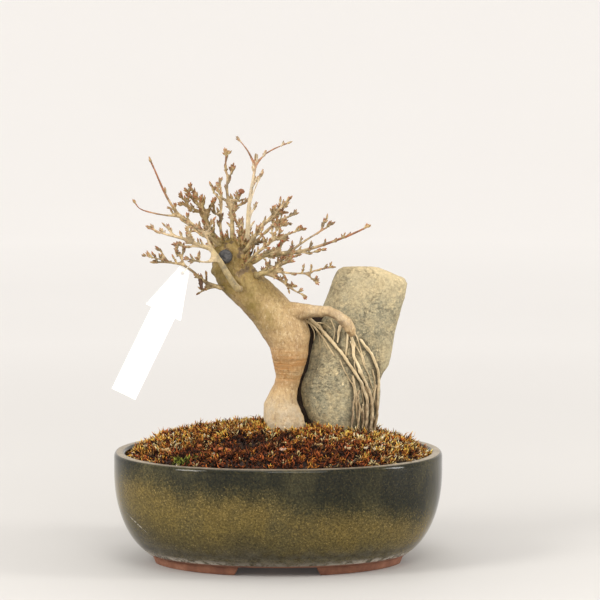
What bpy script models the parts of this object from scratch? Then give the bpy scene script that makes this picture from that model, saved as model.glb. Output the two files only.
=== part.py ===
"""A root-over-rock maple bonsai, bare in winter, in an oval glazed pot on four feet.

Metres, +Z up. The origin is the middle of the pot's footprint, on the surface that the pot stands on.
The tree's front faces -Y, and its head leans towards -X. The plant is placed from the middle of the
pot's rim, so it follows the pot when the pot's height changes.
"""

import math
from collections import namedtuple

import bmesh
import bpy
from mathutils import Matrix, Vector, noise
from mathutils.bvhtree import BVHTree

MM = 0.001

# Pot, in metres.
POT_LENGTH = 250 * MM
POT_WIDTH = 200 * MM
POT_HEIGHT = 84 * MM
POT_WALL = 9 * MM
POT_FLOOR = 9 * MM
LIP_HEIGHT = 12 * MM  # the upright band under the rim, above the curve of the belly
BELLY_SWEEP = 52 * MM  # how far the belly's curve would reach in, if it ran down to the ground
BELLY_POWER = 2.3  # 2 is a quarter of an ellipse, and more is fuller
RIM_ROUND = 3 * MM
FOOT_HEIGHT = 7 * MM
FOOT_WIDTH = 13 * MM
FOOT_SETBACK = 1.2 * MM
FOOT_TAPER = 2 * MM  # how far a foot's outer face leans in, from its top down to where it stands
FOOT_FRONT_GAP = 56.5 * MM
FOOT_END_GAP = 30.5 * MM
FOOT_END_SLOPE = 3.7 * MM  # how much further apart the feet are where they stand than at their tops
DRAIN_RADIUS = 9 * MM
DRAIN_SPACING = 92 * MM
OVAL_POWER = 2.15  # 2 is an ellipse, and more is squarer

# Drainage screens and the wires that hold them.
SCREEN_CELLS = 3
SCREEN_PITCH = 7.6 * MM
SCREEN_BAR = 1.6 * MM
SCREEN_THICK = 1.2 * MM
WIRE_RADIUS = 0.7 * MM
WIRE_TAIL = 9 * MM
WIRE_INSET = 0.7 * MM  # between the wire's legs and the drain hole's side

# Soil and moss.
MOSS_EDGE_DROP = 3.5 * MM  # from the rim's top to the moss at the pot's wall
MOUND_RISE = 20 * MM
MOUND_POWER = 2.6
MOSS_THICK = 6 * MM
MOSS_LUMP = 1.6 * MM

# Fits.
GAP = 0.3 * MM  # between pieces that touch
POCKET_DEPTH = 8 * MM  # how far the roots' room in the moss reaches back into the stone's
ROOT_STANDOFF = 0.5 * MM  # between a root's underside and the stone, over its facets

# Label.
LABEL_LENGTH = 104 * MM
LABEL_WIDTH = 19.5 * MM
LABEL_HEAD_WIDTH = 29 * MM
LABEL_HEAD_LENGTH = 36 * MM
LABEL_NECK_WIDTH = 8 * MM
LABEL_THICK = 0.6 * MM
LABEL_HOLE_RADIUS = 1.7 * MM
TIE_RADIUS = 0.5 * MM

AROUND_POT = 44
AROUND_TRUNK = 16
AROUND_ROCK = 20
RIM_CENTRE = Vector((0, 0, POT_HEIGHT))

MATERIALS = {
    "glaze": ((0.06, 0.065, 0.03), 0.18, 0.0),
    "clay": ((0.2, 0.1, 0.06), 0.85, 0.0),
    "soil": ((0.05, 0.028, 0.016), 0.95, 0.0),
    "moss": ((0.27, 0.14, 0.04), 0.9, 0.0),
    "rock": ((0.31, 0.31, 0.25), 0.75, 0.0),
    "bark": ((0.42, 0.29, 0.15), 0.7, 0.0),
    "root": ((0.5, 0.37, 0.2), 0.65, 0.0),
    "twig": ((0.4, 0.3, 0.18), 0.7, 0.0),
    "wound": ((0.02, 0.02, 0.022), 0.4, 0.0),
    "label": ((0.88, 0.88, 0.86), 0.6, 0.0),
    "tie": ((0.75, 0.7, 0.58), 0.5, 0.0),
    "screen": ((0.02, 0.03, 0.03), 0.6, 0.0),
    "wire": ((0.5, 0.32, 0.2), 0.4, 0.9),
}


# ---------------------------------------------------------------- scene and mesh helpers


def clear_scene():
    for obj in list(bpy.data.objects):
        bpy.data.objects.remove(obj)


def material(name):
    """The named material, made the first time that it is asked for."""
    found = bpy.data.materials.get(name)
    if found:
        return found
    colour, roughness, metallic = MATERIALS[name]
    made = bpy.data.materials.new(name)
    made.use_nodes = True
    shader = made.node_tree.nodes["Principled BSDF"]
    shader.inputs["Base Color"].default_value = (*colour, 1)
    shader.inputs["Roughness"].default_value = roughness
    shader.inputs["Metallic"].default_value = metallic
    made.diffuse_color = (*colour, 1)
    return made


def make_object(name, bm, material_name):
    """A smooth-shaded object from a closed bmesh, with its faces turned outwards."""
    bmesh.ops.recalc_face_normals(bm, faces=bm.faces[:])
    if bm.calc_volume(signed=True) < 0:
        bmesh.ops.reverse_faces(bm, faces=bm.faces[:])
    mesh = bpy.data.meshes.new(name)
    bm.to_mesh(mesh)
    bm.free()
    mesh.shade_smooth()
    mesh.set_sharp_from_angle(angle=math.radians(40))
    obj = bpy.data.objects.new(name, mesh)
    obj.data.materials.append(material(material_name))
    bpy.context.scene.collection.objects.link(obj)
    return obj


def make_helper(obj):
    """Turns obj into a cutter or a joined shape, which isn't a piece of its own."""
    obj.hide_render = True
    obj.display_type = "WIRE"
    return obj


def boolean(obj, operation, *others):
    """Adds one exact Boolean for each of the other objects."""
    for other in others:
        modifier = obj.modifiers.new(f"{operation.lower()}_{other.name}", "BOOLEAN")
        modifier.operation = operation
        modifier.solver = "EXACT"
        modifier.object = make_helper(other)


def evaluated_bmesh(obj):
    bpy.context.view_layer.update()
    bm = bmesh.new()
    bm.from_object(obj, bpy.context.evaluated_depsgraph_get())
    return bm


def grown_copy(obj, distance):
    """A copy of obj whose faces stand out by distance, to cut the room that obj needs."""
    bm = evaluated_bmesh(obj)
    bm.normal_update()
    moves = [v.normal * v.calc_shell_factor() * distance for v in bm.verts]
    for vert, move in zip(bm.verts, moves):
        vert.co += move
    return make_helper(make_object(f"{obj.name}_room", bm, "soil"))


def surface_of(obj):
    return BVHTree.FromObject(obj, bpy.context.evaluated_depsgraph_get())


def loft(bm, rings):
    """Joins rings of points, each as long as the next, and closes both ends with a flat face."""
    levels = [[bm.verts.new(p) for p in ring] for ring in rings]
    for low, high in zip(levels, levels[1:]):
        for i in range(len(low)):
            j = (i + 1) % len(low)
            bm.faces.new((low[i], low[j], high[j], high[i]))
    bm.faces.new(levels[0][::-1])
    bm.faces.new(levels[-1])
    return levels


def smooth_path(points, spacing):
    """Points about spacing apart on a Catmull-Rom curve through the given ones."""
    ends = [points[0] * 2 - points[1], *points, points[-1] * 2 - points[-2]]
    path = [points[0]]
    for a, b, c, d in zip(ends, ends[1:], ends[2:], ends[3:]):
        steps = max(1, round((c - b).length / spacing))
        for k in range(1, steps + 1):
            t = k / steps
            path.append(
                0.5 * (2 * b + (c - a) * t + (2 * a - 5 * b + 4 * c - d) * t**2)
                + 0.5 * (3 * b - a - 3 * c + d) * t**3
            )
    return path


# ---------------------------------------------------------------- pot


def oval(inset, z):
    """One ring of points: the pot's rim outline, stepped in by inset, at height z."""
    half_x, half_y = POT_LENGTH / 2 - inset, POT_WIDTH / 2 - inset
    ring = []
    for i in range(AROUND_POT):
        c, s = math.cos(math.tau * i / AROUND_POT), math.sin(math.tau * i / AROUND_POT)
        x = math.copysign(abs(c) ** (2 / OVAL_POWER), c)
        y = math.copysign(abs(s) ** (2 / OVAL_POWER), s)
        ring.append(Vector((half_x * x, half_y * y, z)))
    return ring


def belly_inset(z):
    """How far the pot's outer face stands in from the rim's outline at height z."""
    drop = POT_HEIGHT - LIP_HEIGHT
    depth = min(1.0, max(0.0, drop - z) / drop)
    return BELLY_SWEEP * (1 - (1 - depth**BELLY_POWER) ** (1 / BELLY_POWER))


def wall_levels(bottom, top, count):
    """Heights from bottom to top, closer together near the bottom, where the wall curves most."""
    return [bottom + (top - bottom) * (i / count) ** 1.4 for i in range(count + 1)]


FLOOR_Z = FOOT_HEIGHT + POT_FLOOR
INNER_LEVELS = wall_levels(FLOOR_Z, POT_HEIGHT - RIM_ROUND, 6)


def make_pot():
    outer = wall_levels(FOOT_HEIGHT, POT_HEIGHT - RIM_ROUND, 8)
    rim_bevel = RIM_ROUND * (1 - math.sqrt(0.5))
    rings = [oval(belly_inset(z), z) for z in outer]
    rings.append(oval(rim_bevel, POT_HEIGHT - rim_bevel))
    rings.append(oval(RIM_ROUND, POT_HEIGHT))
    rings.append(oval(POT_WALL - RIM_ROUND, POT_HEIGHT))
    rings.append(oval(POT_WALL - rim_bevel, POT_HEIGHT - rim_bevel))
    rings += [oval(belly_inset(z) + POT_WALL, z) for z in reversed(INNER_LEVELS)]
    bm = bmesh.new()
    loft(bm, rings)
    pot = make_object("pot", bm, "glaze")
    boolean(pot, "DIFFERENCE", *[make_drain_cutter(side) for side in (-1, 1)])


def make_foot(name, side_x, side_y):
    """One foot: a bent bar under one quarter of the base, longer at its top than where it stands."""
    base = belly_inset(FOOT_HEIGHT) + FOOT_SETBACK
    half_x, half_y = POT_LENGTH / 2 - base, POT_WIDTH / 2 - base
    top = FOOT_HEIGHT - GAP
    steps = 8
    rings = []
    for k in range(steps + 1):
        section = []
        for z, slope, width in ((0, 1, FOOT_TAPER), (0, 1, FOOT_WIDTH), (top, 0, FOOT_WIDTH), (top, 0, 0)):
            reach_x, reach_y = half_x - width, half_y - width
            start = math.asin((FOOT_END_GAP / 2 + slope * FOOT_END_SLOPE) / reach_y)
            end = math.acos((FOOT_FRONT_GAP / 2 + slope * FOOT_END_SLOPE) / reach_x)
            angle = start + (end - start) * k / steps
            x, y = reach_x * math.cos(angle), reach_y * math.sin(angle)
            section.append(Vector((side_x * x, side_y * y, z)))
        rings.append(section)
    bm = bmesh.new()
    loft(bm, rings)
    return make_object(name, bm, "clay")


def make_drain_cutter(side):
    bm = bmesh.new()
    height = POT_FLOOR * 3
    bmesh.ops.create_cone(
        bm, cap_ends=True, segments=20, radius1=DRAIN_RADIUS, radius2=DRAIN_RADIUS, depth=height
    )
    at = Vector((side * DRAIN_SPACING / 2, 0, FOOT_HEIGHT + POT_FLOOR / 2))
    bmesh.ops.translate(bm, vec=at, verts=bm.verts[:])
    return make_object(f"drain_{side:+d}", bm, "glaze")


# ---------------------------------------------------------------- drainage screens


def make_screen(name, side):
    """A square of plastic mesh over one drain hole, lying on the pot's floor."""
    bm = bmesh.new()
    lines = []
    for i in range(SCREEN_CELLS + 1):
        at = (i - SCREEN_CELLS / 2) * SCREEN_PITCH
        lines += [at - SCREEN_BAR / 2, at + SCREEN_BAR / 2]
    grid = [[bm.verts.new((x, y, 0)) for y in lines] for x in lines]
    for i in range(len(lines) - 1):
        for j in range(len(lines) - 1):
            if i % 2 == 0 or j % 2 == 0:
                bm.faces.new((grid[i][j], grid[i + 1][j], grid[i + 1][j + 1], grid[i][j + 1]))
    flat = bmesh.ops.extrude_face_region(bm, geom=bm.faces[:])["geom"]
    raised = [v for v in flat if isinstance(v, bmesh.types.BMVert)]
    bmesh.ops.translate(bm, vec=(0, 0, SCREEN_THICK), verts=raised)
    at = Vector((side * DRAIN_SPACING / 2, 0, FLOOR_Z + GAP))
    bmesh.ops.translate(bm, vec=at, verts=bm.verts[:])
    return make_object(name, bm, "screen")


def make_screen_wire(name, side):
    """A wire staple: over the mesh, down through two of its cells, and bent out under the pot."""
    top = FLOOR_Z + GAP * 2 + SCREEN_THICK + WIRE_RADIUS
    under = FOOT_HEIGHT - GAP - WIRE_RADIUS
    leg = DRAIN_RADIUS - WIRE_INSET - WIRE_RADIUS
    bend = 2 * WIRE_RADIUS
    half = [
        Vector((0, 0, top)),
        Vector((leg - bend, 0, top)),
        Vector((leg, 0, top - bend)),
        Vector((leg, 0, under + bend)),
        Vector((leg + bend, 0, under)),
        Vector((leg + WIRE_TAIL, 0, under)),
    ]
    points = [Vector((-p.x, p.y, p.z)) for p in reversed(half[1:])] + half
    at = Vector((side * DRAIN_SPACING / 2, 0, 0))
    path = [p + at for p in points]
    return make_object(name, tube(path, [WIRE_RADIUS] * len(path), 8), "wire")


def tube(path, radii, sides):
    """A closed round bar along path."""
    bm = bmesh.new()
    rings = []
    across = None
    for i, point in enumerate(path):
        along = path[min(i + 1, len(path) - 1)] - path[max(i - 1, 0)]
        across = frame_across(along.normalized(), across)
        rings.append(ring_at(point, along, across, radii[i], sides))
    loft(bm, rings)
    return bm


def frame_across(along, before):
    """A unit vector across the direction, turned as little as it can be from the one before."""
    start = before or (Vector((0, 1, 0)) if abs(along.y) < 0.9 else Vector((1, 0, 0)))
    return (start - along * start.dot(along)).normalized()


def ring_at(centre, along, across, radius, sides, flat=1.0):
    """Points round centre. flat below 1 squeezes the ring at right angles to across."""
    side = along.normalized().cross(across)
    return [
        centre
        + across * radius * math.cos(math.tau * k / sides)
        + side * radius * flat * math.sin(math.tau * k / sides)
        for k in range(sides)
    ]


# ---------------------------------------------------------------- soil and moss


def lump(point, size, seed):
    """Smooth noise from -1 to 1 that changes over about size."""
    return noise.noise(point / size + Vector((seed, seed * 0.37, -seed)))


def mound_height(x, y):
    """The height of the moss's top over a point of the pot."""
    half_x, half_y = POT_LENGTH / 2 - POT_WALL, POT_WIDTH / 2 - POT_WALL
    out = min(1.0, math.hypot(x / half_x, y / half_y))
    return POT_HEIGHT - MOSS_EDGE_DROP + MOUND_RISE * (1 - out**MOUND_POWER)


def domed_ring(inset, share, drop):
    """The ring at this share of the way out to the pot's wall, at drop below the moss's top."""
    ring = [Vector((p.x * share, p.y * share, 0)) for p in oval(inset, 0)]
    return [Vector((p.x, p.y, mound_height(p.x, p.y) - drop)) for p in ring]


def lumpy(ring, share):
    """The ring with the moss's cushions on it, which fade out at the pot's wall."""
    fade = MOSS_LUMP * math.sqrt(1 - share)
    return [p + Vector((0, 0, fade * lump(Vector((p.x, p.y, 0)), 16 * MM, 5))) for p in ring]


MOUND_SHARES = (1, 0.85, 0.66, 0.44, 0.15)


def make_soil():
    """The soil fills the pot to just under the moss, and leaves room for what stands in it."""
    edge = POT_HEIGHT - MOSS_EDGE_DROP - MOSS_THICK - GAP
    levels = [z for z in INNER_LEVELS if z < edge - 2 * MM]
    rings = [oval(belly_inset(levels[0]) + POT_WALL + GAP, levels[0] + GAP)]
    rings += [oval(belly_inset(z) + POT_WALL + GAP, z) for z in levels[1:]]
    rings += [domed_ring(POT_WALL + 2 * GAP, share, MOSS_THICK + GAP) for share in MOUND_SHARES]
    bm = bmesh.new()
    loft(bm, rings)
    return make_object("soil", bm, "soil")


def make_moss():
    """The moss carpet, as one sheet with the soil's mound under it."""
    under = [domed_ring(POT_WALL + 2 * GAP, share, MOSS_THICK) for share in reversed(MOUND_SHARES)]
    shares = (1, 0.95, 0.85, 0.75, 0.66, 0.55, 0.44, 0.3, 0.15)
    over = [lumpy(domed_ring(POT_WALL + 2 * GAP, share, 0), share) for share in shares]
    bm = bmesh.new()
    loft(bm, under + over)
    return make_object("moss", bm, "moss")


# ---------------------------------------------------------------- stone


# Height above the rim, then the left and right edges, the middle in Y and the depth, in mm.
ROCK_STATIONS = (
    (-14, 34, 68, 13, 24),
    (-2, 32.5, 73, 13, 31),
    (8, 30, 74.5, 13, 35),
    (16, 27.5, 75, 13, 37),
    (24, 22.5, 75.6, 12.5, 39),
    (33, 18, 77, 12.5, 40),
    (42, 16.2, 78, 12.5, 40),
    (52, 16.8, 78, 12.5, 39),
    (58, 18.6, 80.5, 12.8, 38),
    (64, 20, 84, 13, 37),
    (74, 21.6, 86.5, 13.5, 35),
    (84, 23.4, 88.3, 14, 33),
    (96, 27.4, 91, 14.5, 31),
    (108, 33, 94.5, 15, 30),
    (118, 37.6, 98, 15.5, 28),
    (126, 40.6, 99.4, 15.5, 26),
    (132, 43, 96.5, 15.5, 22),
    (136.4, 45.6, 86, 15.5, 17),
    (139.2, 49.5, 76, 15.5, 11),
)
ROCK_POWER = 2.5
ROCK_LUMP = 0.9 * MM


def rock_ring(left, right, middle_y, depth, height):
    """One level of the stone, with a shallow groove down its front right side, where roots run."""
    centre = RIM_CENTRE + Vector(((left + right) / 2, middle_y, height)) * MM
    half_x, half_y = (right - left) / 2 * MM, depth / 2 * MM
    ring = []
    for k in range(AROUND_ROCK):
        angle = math.tau * k / AROUND_ROCK
        c, s = math.cos(angle), math.sin(angle)
        x = math.copysign(abs(c) ** (2 / ROCK_POWER), c)
        y = math.copysign(abs(s) ** (2 / ROCK_POWER), s)
        groove = 0.14 * math.exp(-(((angle - math.tau * 0.86) / 0.3) ** 2)) * (height < 90)
        point = Vector((half_x * x * (1 - groove), half_y * y * (1 - groove), 0))
        out = point.normalized()
        ring.append(centre + point + out * ROCK_LUMP * lump(centre + point, 22 * MM, 2))
    return ring


def make_rock():
    bm = bmesh.new()
    loft(bm, [rock_ring(*sizes, height) for height, *sizes in ROCK_STATIONS])
    return make_object("rock", bm, "rock")


# ---------------------------------------------------------------- trunk


Station = namedtuple("Station", "x y height half_width half_depth")
# The trunk from under the soil to its head, in mm from the middle of the rim.
TRUNK_STATIONS = (
    Station(5, -7, -4, 11, 10),
    Station(5.2, -7, 8, 15.5, 13.5),
    Station(5.2, -7, 17, 15.6, 14),
    Station(3.6, -6.5, 27, 15.2, 13.6),
    Station(2.2, -6.2, 36, 13.3, 12.6),
    Station(3.8, -6, 42, 11.2, 11.6),
    Station(6, -5.5, 49, 9.4, 10.8),
    Station(8, -5, 56, 9.4, 10.8),
    Station(8.4, -5, 64, 11.6, 12),
    Station(9, -5, 74, 14, 13.4),
    Station(8, -5, 84, 15, 14),
    Station(2, -4, 97, 16.6, 14.6),
    Station(-7.6, -3, 109.5, 15.8, 14.8),
    Station(-17.5, -2, 119, 15.2, 14.8),
    Station(-25.2, -1.5, 126, 14.8, 14.8),
    Station(-31.8, -1, 133, 15.2, 14.8),
    Station(-35.6, -0.5, 140.5, 15, 14.6),
    Station(-35.4, 0, 147.5, 14.2, 14),
    Station(-34.4, 0, 153.5, 12, 12),
    Station(-34, 0, 158, 8.6, 8.6),
    Station(-34, 0, 161, 4.4, 4.4),
)
# The thick root that leaves the trunk's right side and lies over the stone's shoulder.
ARM_POINTS = ((4, -6, 104), (15, -8, 107), (27, -11.6, 107.6), (38, -13.4, 107.8), (45.5, -13.8, 104.6),
              (51.5, -13.6, 98.6), (55.5, -13.2, 93), (57.4, -12.8, 89))
ARM_RADII = (10.6, 7.6, 4.6, 3.9, 4.1, 4.7, 4.2, 2.5)
BARK_LUMP = 0.7 * MM


def plant_point(x, y, height):
    """A point given in mm from the middle of the rim."""
    return RIM_CENTRE + Vector((x, y, height)) * MM


def make_trunk(rock):
    """The trunk and its arm root, grown as one piece and moulded to the stone."""
    path = [plant_point(s.x, s.y, s.height) for s in TRUNK_STATIONS]
    rings = []
    for i, station in enumerate(TRUNK_STATIONS):
        along = (path[min(i + 1, len(path) - 1)] - path[max(i - 1, 0)]).normalized()
        across = Vector((0, 1, 0)).cross(along).normalized()
        flat = station.half_depth / station.half_width
        ring = ring_at(path[i], along, across, station.half_width * MM, AROUND_TRUNK, flat)
        rings.append([p + (p - path[i]).normalized() * BARK_LUMP * lump(p, 9 * MM, 1) for p in ring])
    bm = bmesh.new()
    loft(bm, rings)
    trunk = make_object("trunk", bm, "bark")
    arm_path = [plant_point(*p) for p in ARM_POINTS]
    arm = make_object("arm_root", tube(arm_path, [r * MM for r in ARM_RADII], 10), "bark")
    boolean(trunk, "UNION", arm)
    boolean(trunk, "DIFFERENCE", grown_copy(rock, GAP))
    return trunk


# ---------------------------------------------------------------- shoots


Shoot = namedtuple("Shoot", "points thick thin forks pairs", defaults=((), 0))
CROWN_PLACE = Vector((1.2, 0, -1.4)) * MM  # the branches' step from the rim's middle
SHOOT_SPACING = 9 * MM
BUD_LENGTH = 4.2 * MM
BUD_SWELL = 1.3
SPUR_LENGTH = 6 * MM
SPUR_THICK = 0.75 * MM


class ShootMesh:
    """Grows one branch as one closed skin: side shoots are drawn out of the faces of their parent."""

    def __init__(self):
        self.bm = bmesh.new()
        self.free = []  # faces that a side shoot can still grow from

    def start(self, centre, along, radius, sides):
        ring = ring_at(centre, along, frame_across(along.normalized(), None), radius, sides)
        verts = [self.bm.verts.new(p) for p in ring]
        self.bm.faces.new(verts[::-1])
        return verts

    def grow(self, verts, path, radii):
        """Skins rings along path from the ring of verts, and ends in a bud's point."""
        sides = len(verts)
        centre = sum((v.co for v in verts), Vector()) / sides
        along = (path[1] - path[0]).normalized()
        spokes = [v.co - centre for v in verts]
        across = frame_across(along, spokes[0].normalized())
        turn = 1 if spokes[0].cross(spokes[1]).dot(along) > 0 else -1
        for i in range(1, len(path) - 1):
            along = (path[i + 1] - path[i - 1]).normalized()
            across = frame_across(along, across)
            points = ring_at(path[i], along, across, radii[i], sides)
            if turn < 0:
                points = [points[-k % sides] for k in range(sides)]
            verts = self.join(verts, [self.bm.verts.new(p) for p in points])
        tip = self.bm.verts.new(path[-1])
        for i in range(sides):
            self.bm.faces.new((verts[i], verts[(i + 1) % sides], tip))

    def join(self, low, high):
        for i in range(len(low)):
            j = (i + 1) % len(low)
            self.free.append(self.bm.faces.new((low[i], low[j], high[j], high[i])))
        return high

    def side_face(self, near, towards):
        """Takes the free face that best suits a side shoot, and returns its verts."""
        def cost(face):
            return (face.calc_center_median() - near).length - 3 * MM * face.normal.dot(towards)

        self.bm.normal_update()
        face = min(self.free, key=cost)
        self.free.remove(face)
        verts = list(face.verts)
        self.bm.faces.remove(face)
        return verts


def crown_point(x, y, height):
    """A point of a branch, given in mm."""
    return plant_point(x, y, height) + CROWN_PLACE


def nearest_step(path, point):
    return min(range(len(path)), key=lambda i: (path[i] - point).length)


def shoot_path(shoot, first=None):
    """The shoot's points along its curve, with closer ones where its side shoots leave it."""
    points = [crown_point(*p) for p in shoot.points]
    if first is not None:
        points[0] = first
    path = smooth_path(points, SHOOT_SPACING)
    starts = [crown_point(*fork.points[0]) for fork in shoot.forks]
    reach = [fork.thick * MM * 1.3 for fork in shoot.forks]
    for start, half in zip(starts, reach):
        i = max(1, min(nearest_step(path, start), len(path) - 2))
        before, after = path[i - 1] - path[i], path[i + 1] - path[i]
        if min(before.length, after.length) > 2.5 * half:
            path[i : i + 1] = [path[i] + before.normalized() * half, path[i] + after.normalized() * half]
    return path


def tapered(path, thick, thin):
    """Radii along the path, with a bud's swelling put before its end."""
    end = path[-1]
    back = (path[-2] - end).normalized()
    bud = min(BUD_LENGTH, (path[-2] - end).length * 0.8)
    path[-1:] = [end + back * bud, end + back * bud * 0.55, end]
    count = len(path) - 3
    radii = [thick + (thin - thick) * (i / count) ** 0.8 for i in range(count + 1)]
    return path, [r * MM for r in (*radii, thin * BUD_SWELL, 0)]


def grow_forks(skin, shoot):
    """Draws the shoot's side shoots out of the skin, each with its own."""
    for fork in shoot.forks:
        path = shoot_path(fork)
        towards = (path[1] - path[0]).normalized()
        verts = skin.side_face(path[0] + towards * fork.thick * MM, towards)
        path, radii = tapered(path, fork.thick, fork.thin)
        path[0] = sum((v.co for v in verts), Vector()) / 4
        skin.grow(verts, path, radii)
        grow_forks(skin, fork)
        grow_spurs(skin, fork, path)


def grow_spurs(skin, shoot, path):
    """Short bud spurs in opposite pairs, each pair a quarter turn from the last, as on a maple."""
    steps = range(1, len(path) - 3)
    for n in range(shoot.pairs):
        i = steps[round((len(steps) - 1) * (n + 0.5) / shoot.pairs)]
        along = (path[i + 1] - path[i]).normalized()
        across = Matrix.Rotation(math.radians(90 * n + 35), 3, along) @ frame_across(along, None)
        middle = (path[i] + path[i + 1]) / 2
        for side in (1, -1):
            lean = (across * side + along * 0.75).normalized()
            verts = skin.side_face(middle + across * side * shoot.thin * MM, across * side)
            start = sum((v.co for v in verts), Vector()) / 4
            points = [start + lean * SPUR_LENGTH * f for f in (0, 0.3, 0.6, 1)]
            skin.grow(verts, points, [0, SPUR_THICK, SPUR_THICK * BUD_SWELL, 0])


def seated(hit, normal, radius, surface):
    """The middle of a round foot of this radius, raised from hit until all of it clears the bark."""
    heights = []
    for point in ring_at(hit, normal, frame_across(normal, None), radius, 12):
        nearest, facing, _, _ = surface.find_nearest(point)
        heights.append((point - nearest).dot(facing))
    return hit + normal * (1.5 * GAP - min(0, *heights))


def make_branch(name, shoot, trunk_surface, sides=6):
    """A branch that sits on the trunk: its foot lies along the bark, a gap away from it."""
    inside, out = crown_point(*shoot.points[0]), crown_point(*shoot.points[1])
    hit, normal, _, _ = trunk_surface.ray_cast(inside, (out - inside).normalized())
    foot = seated(hit, normal, shoot.thick * 1.15 * MM, trunk_surface)
    path = shoot_path(shoot, foot)
    lift = foot + normal * shoot.thick * 1.1 * MM
    while (path[1] - lift).length < shoot.thick * 1.5 * MM:
        path.pop(1)
    path.insert(1, lift)
    path, radii = tapered(path, shoot.thick, shoot.thin)
    skin = ShootMesh()
    base = skin.start(foot, normal, shoot.thick * 1.15 * MM, sides)
    skin.grow(base, path, radii)
    grow_forks(skin, shoot)
    grow_spurs(skin, shoot, path)
    return make_object(name, skin.bm, "twig")


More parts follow.
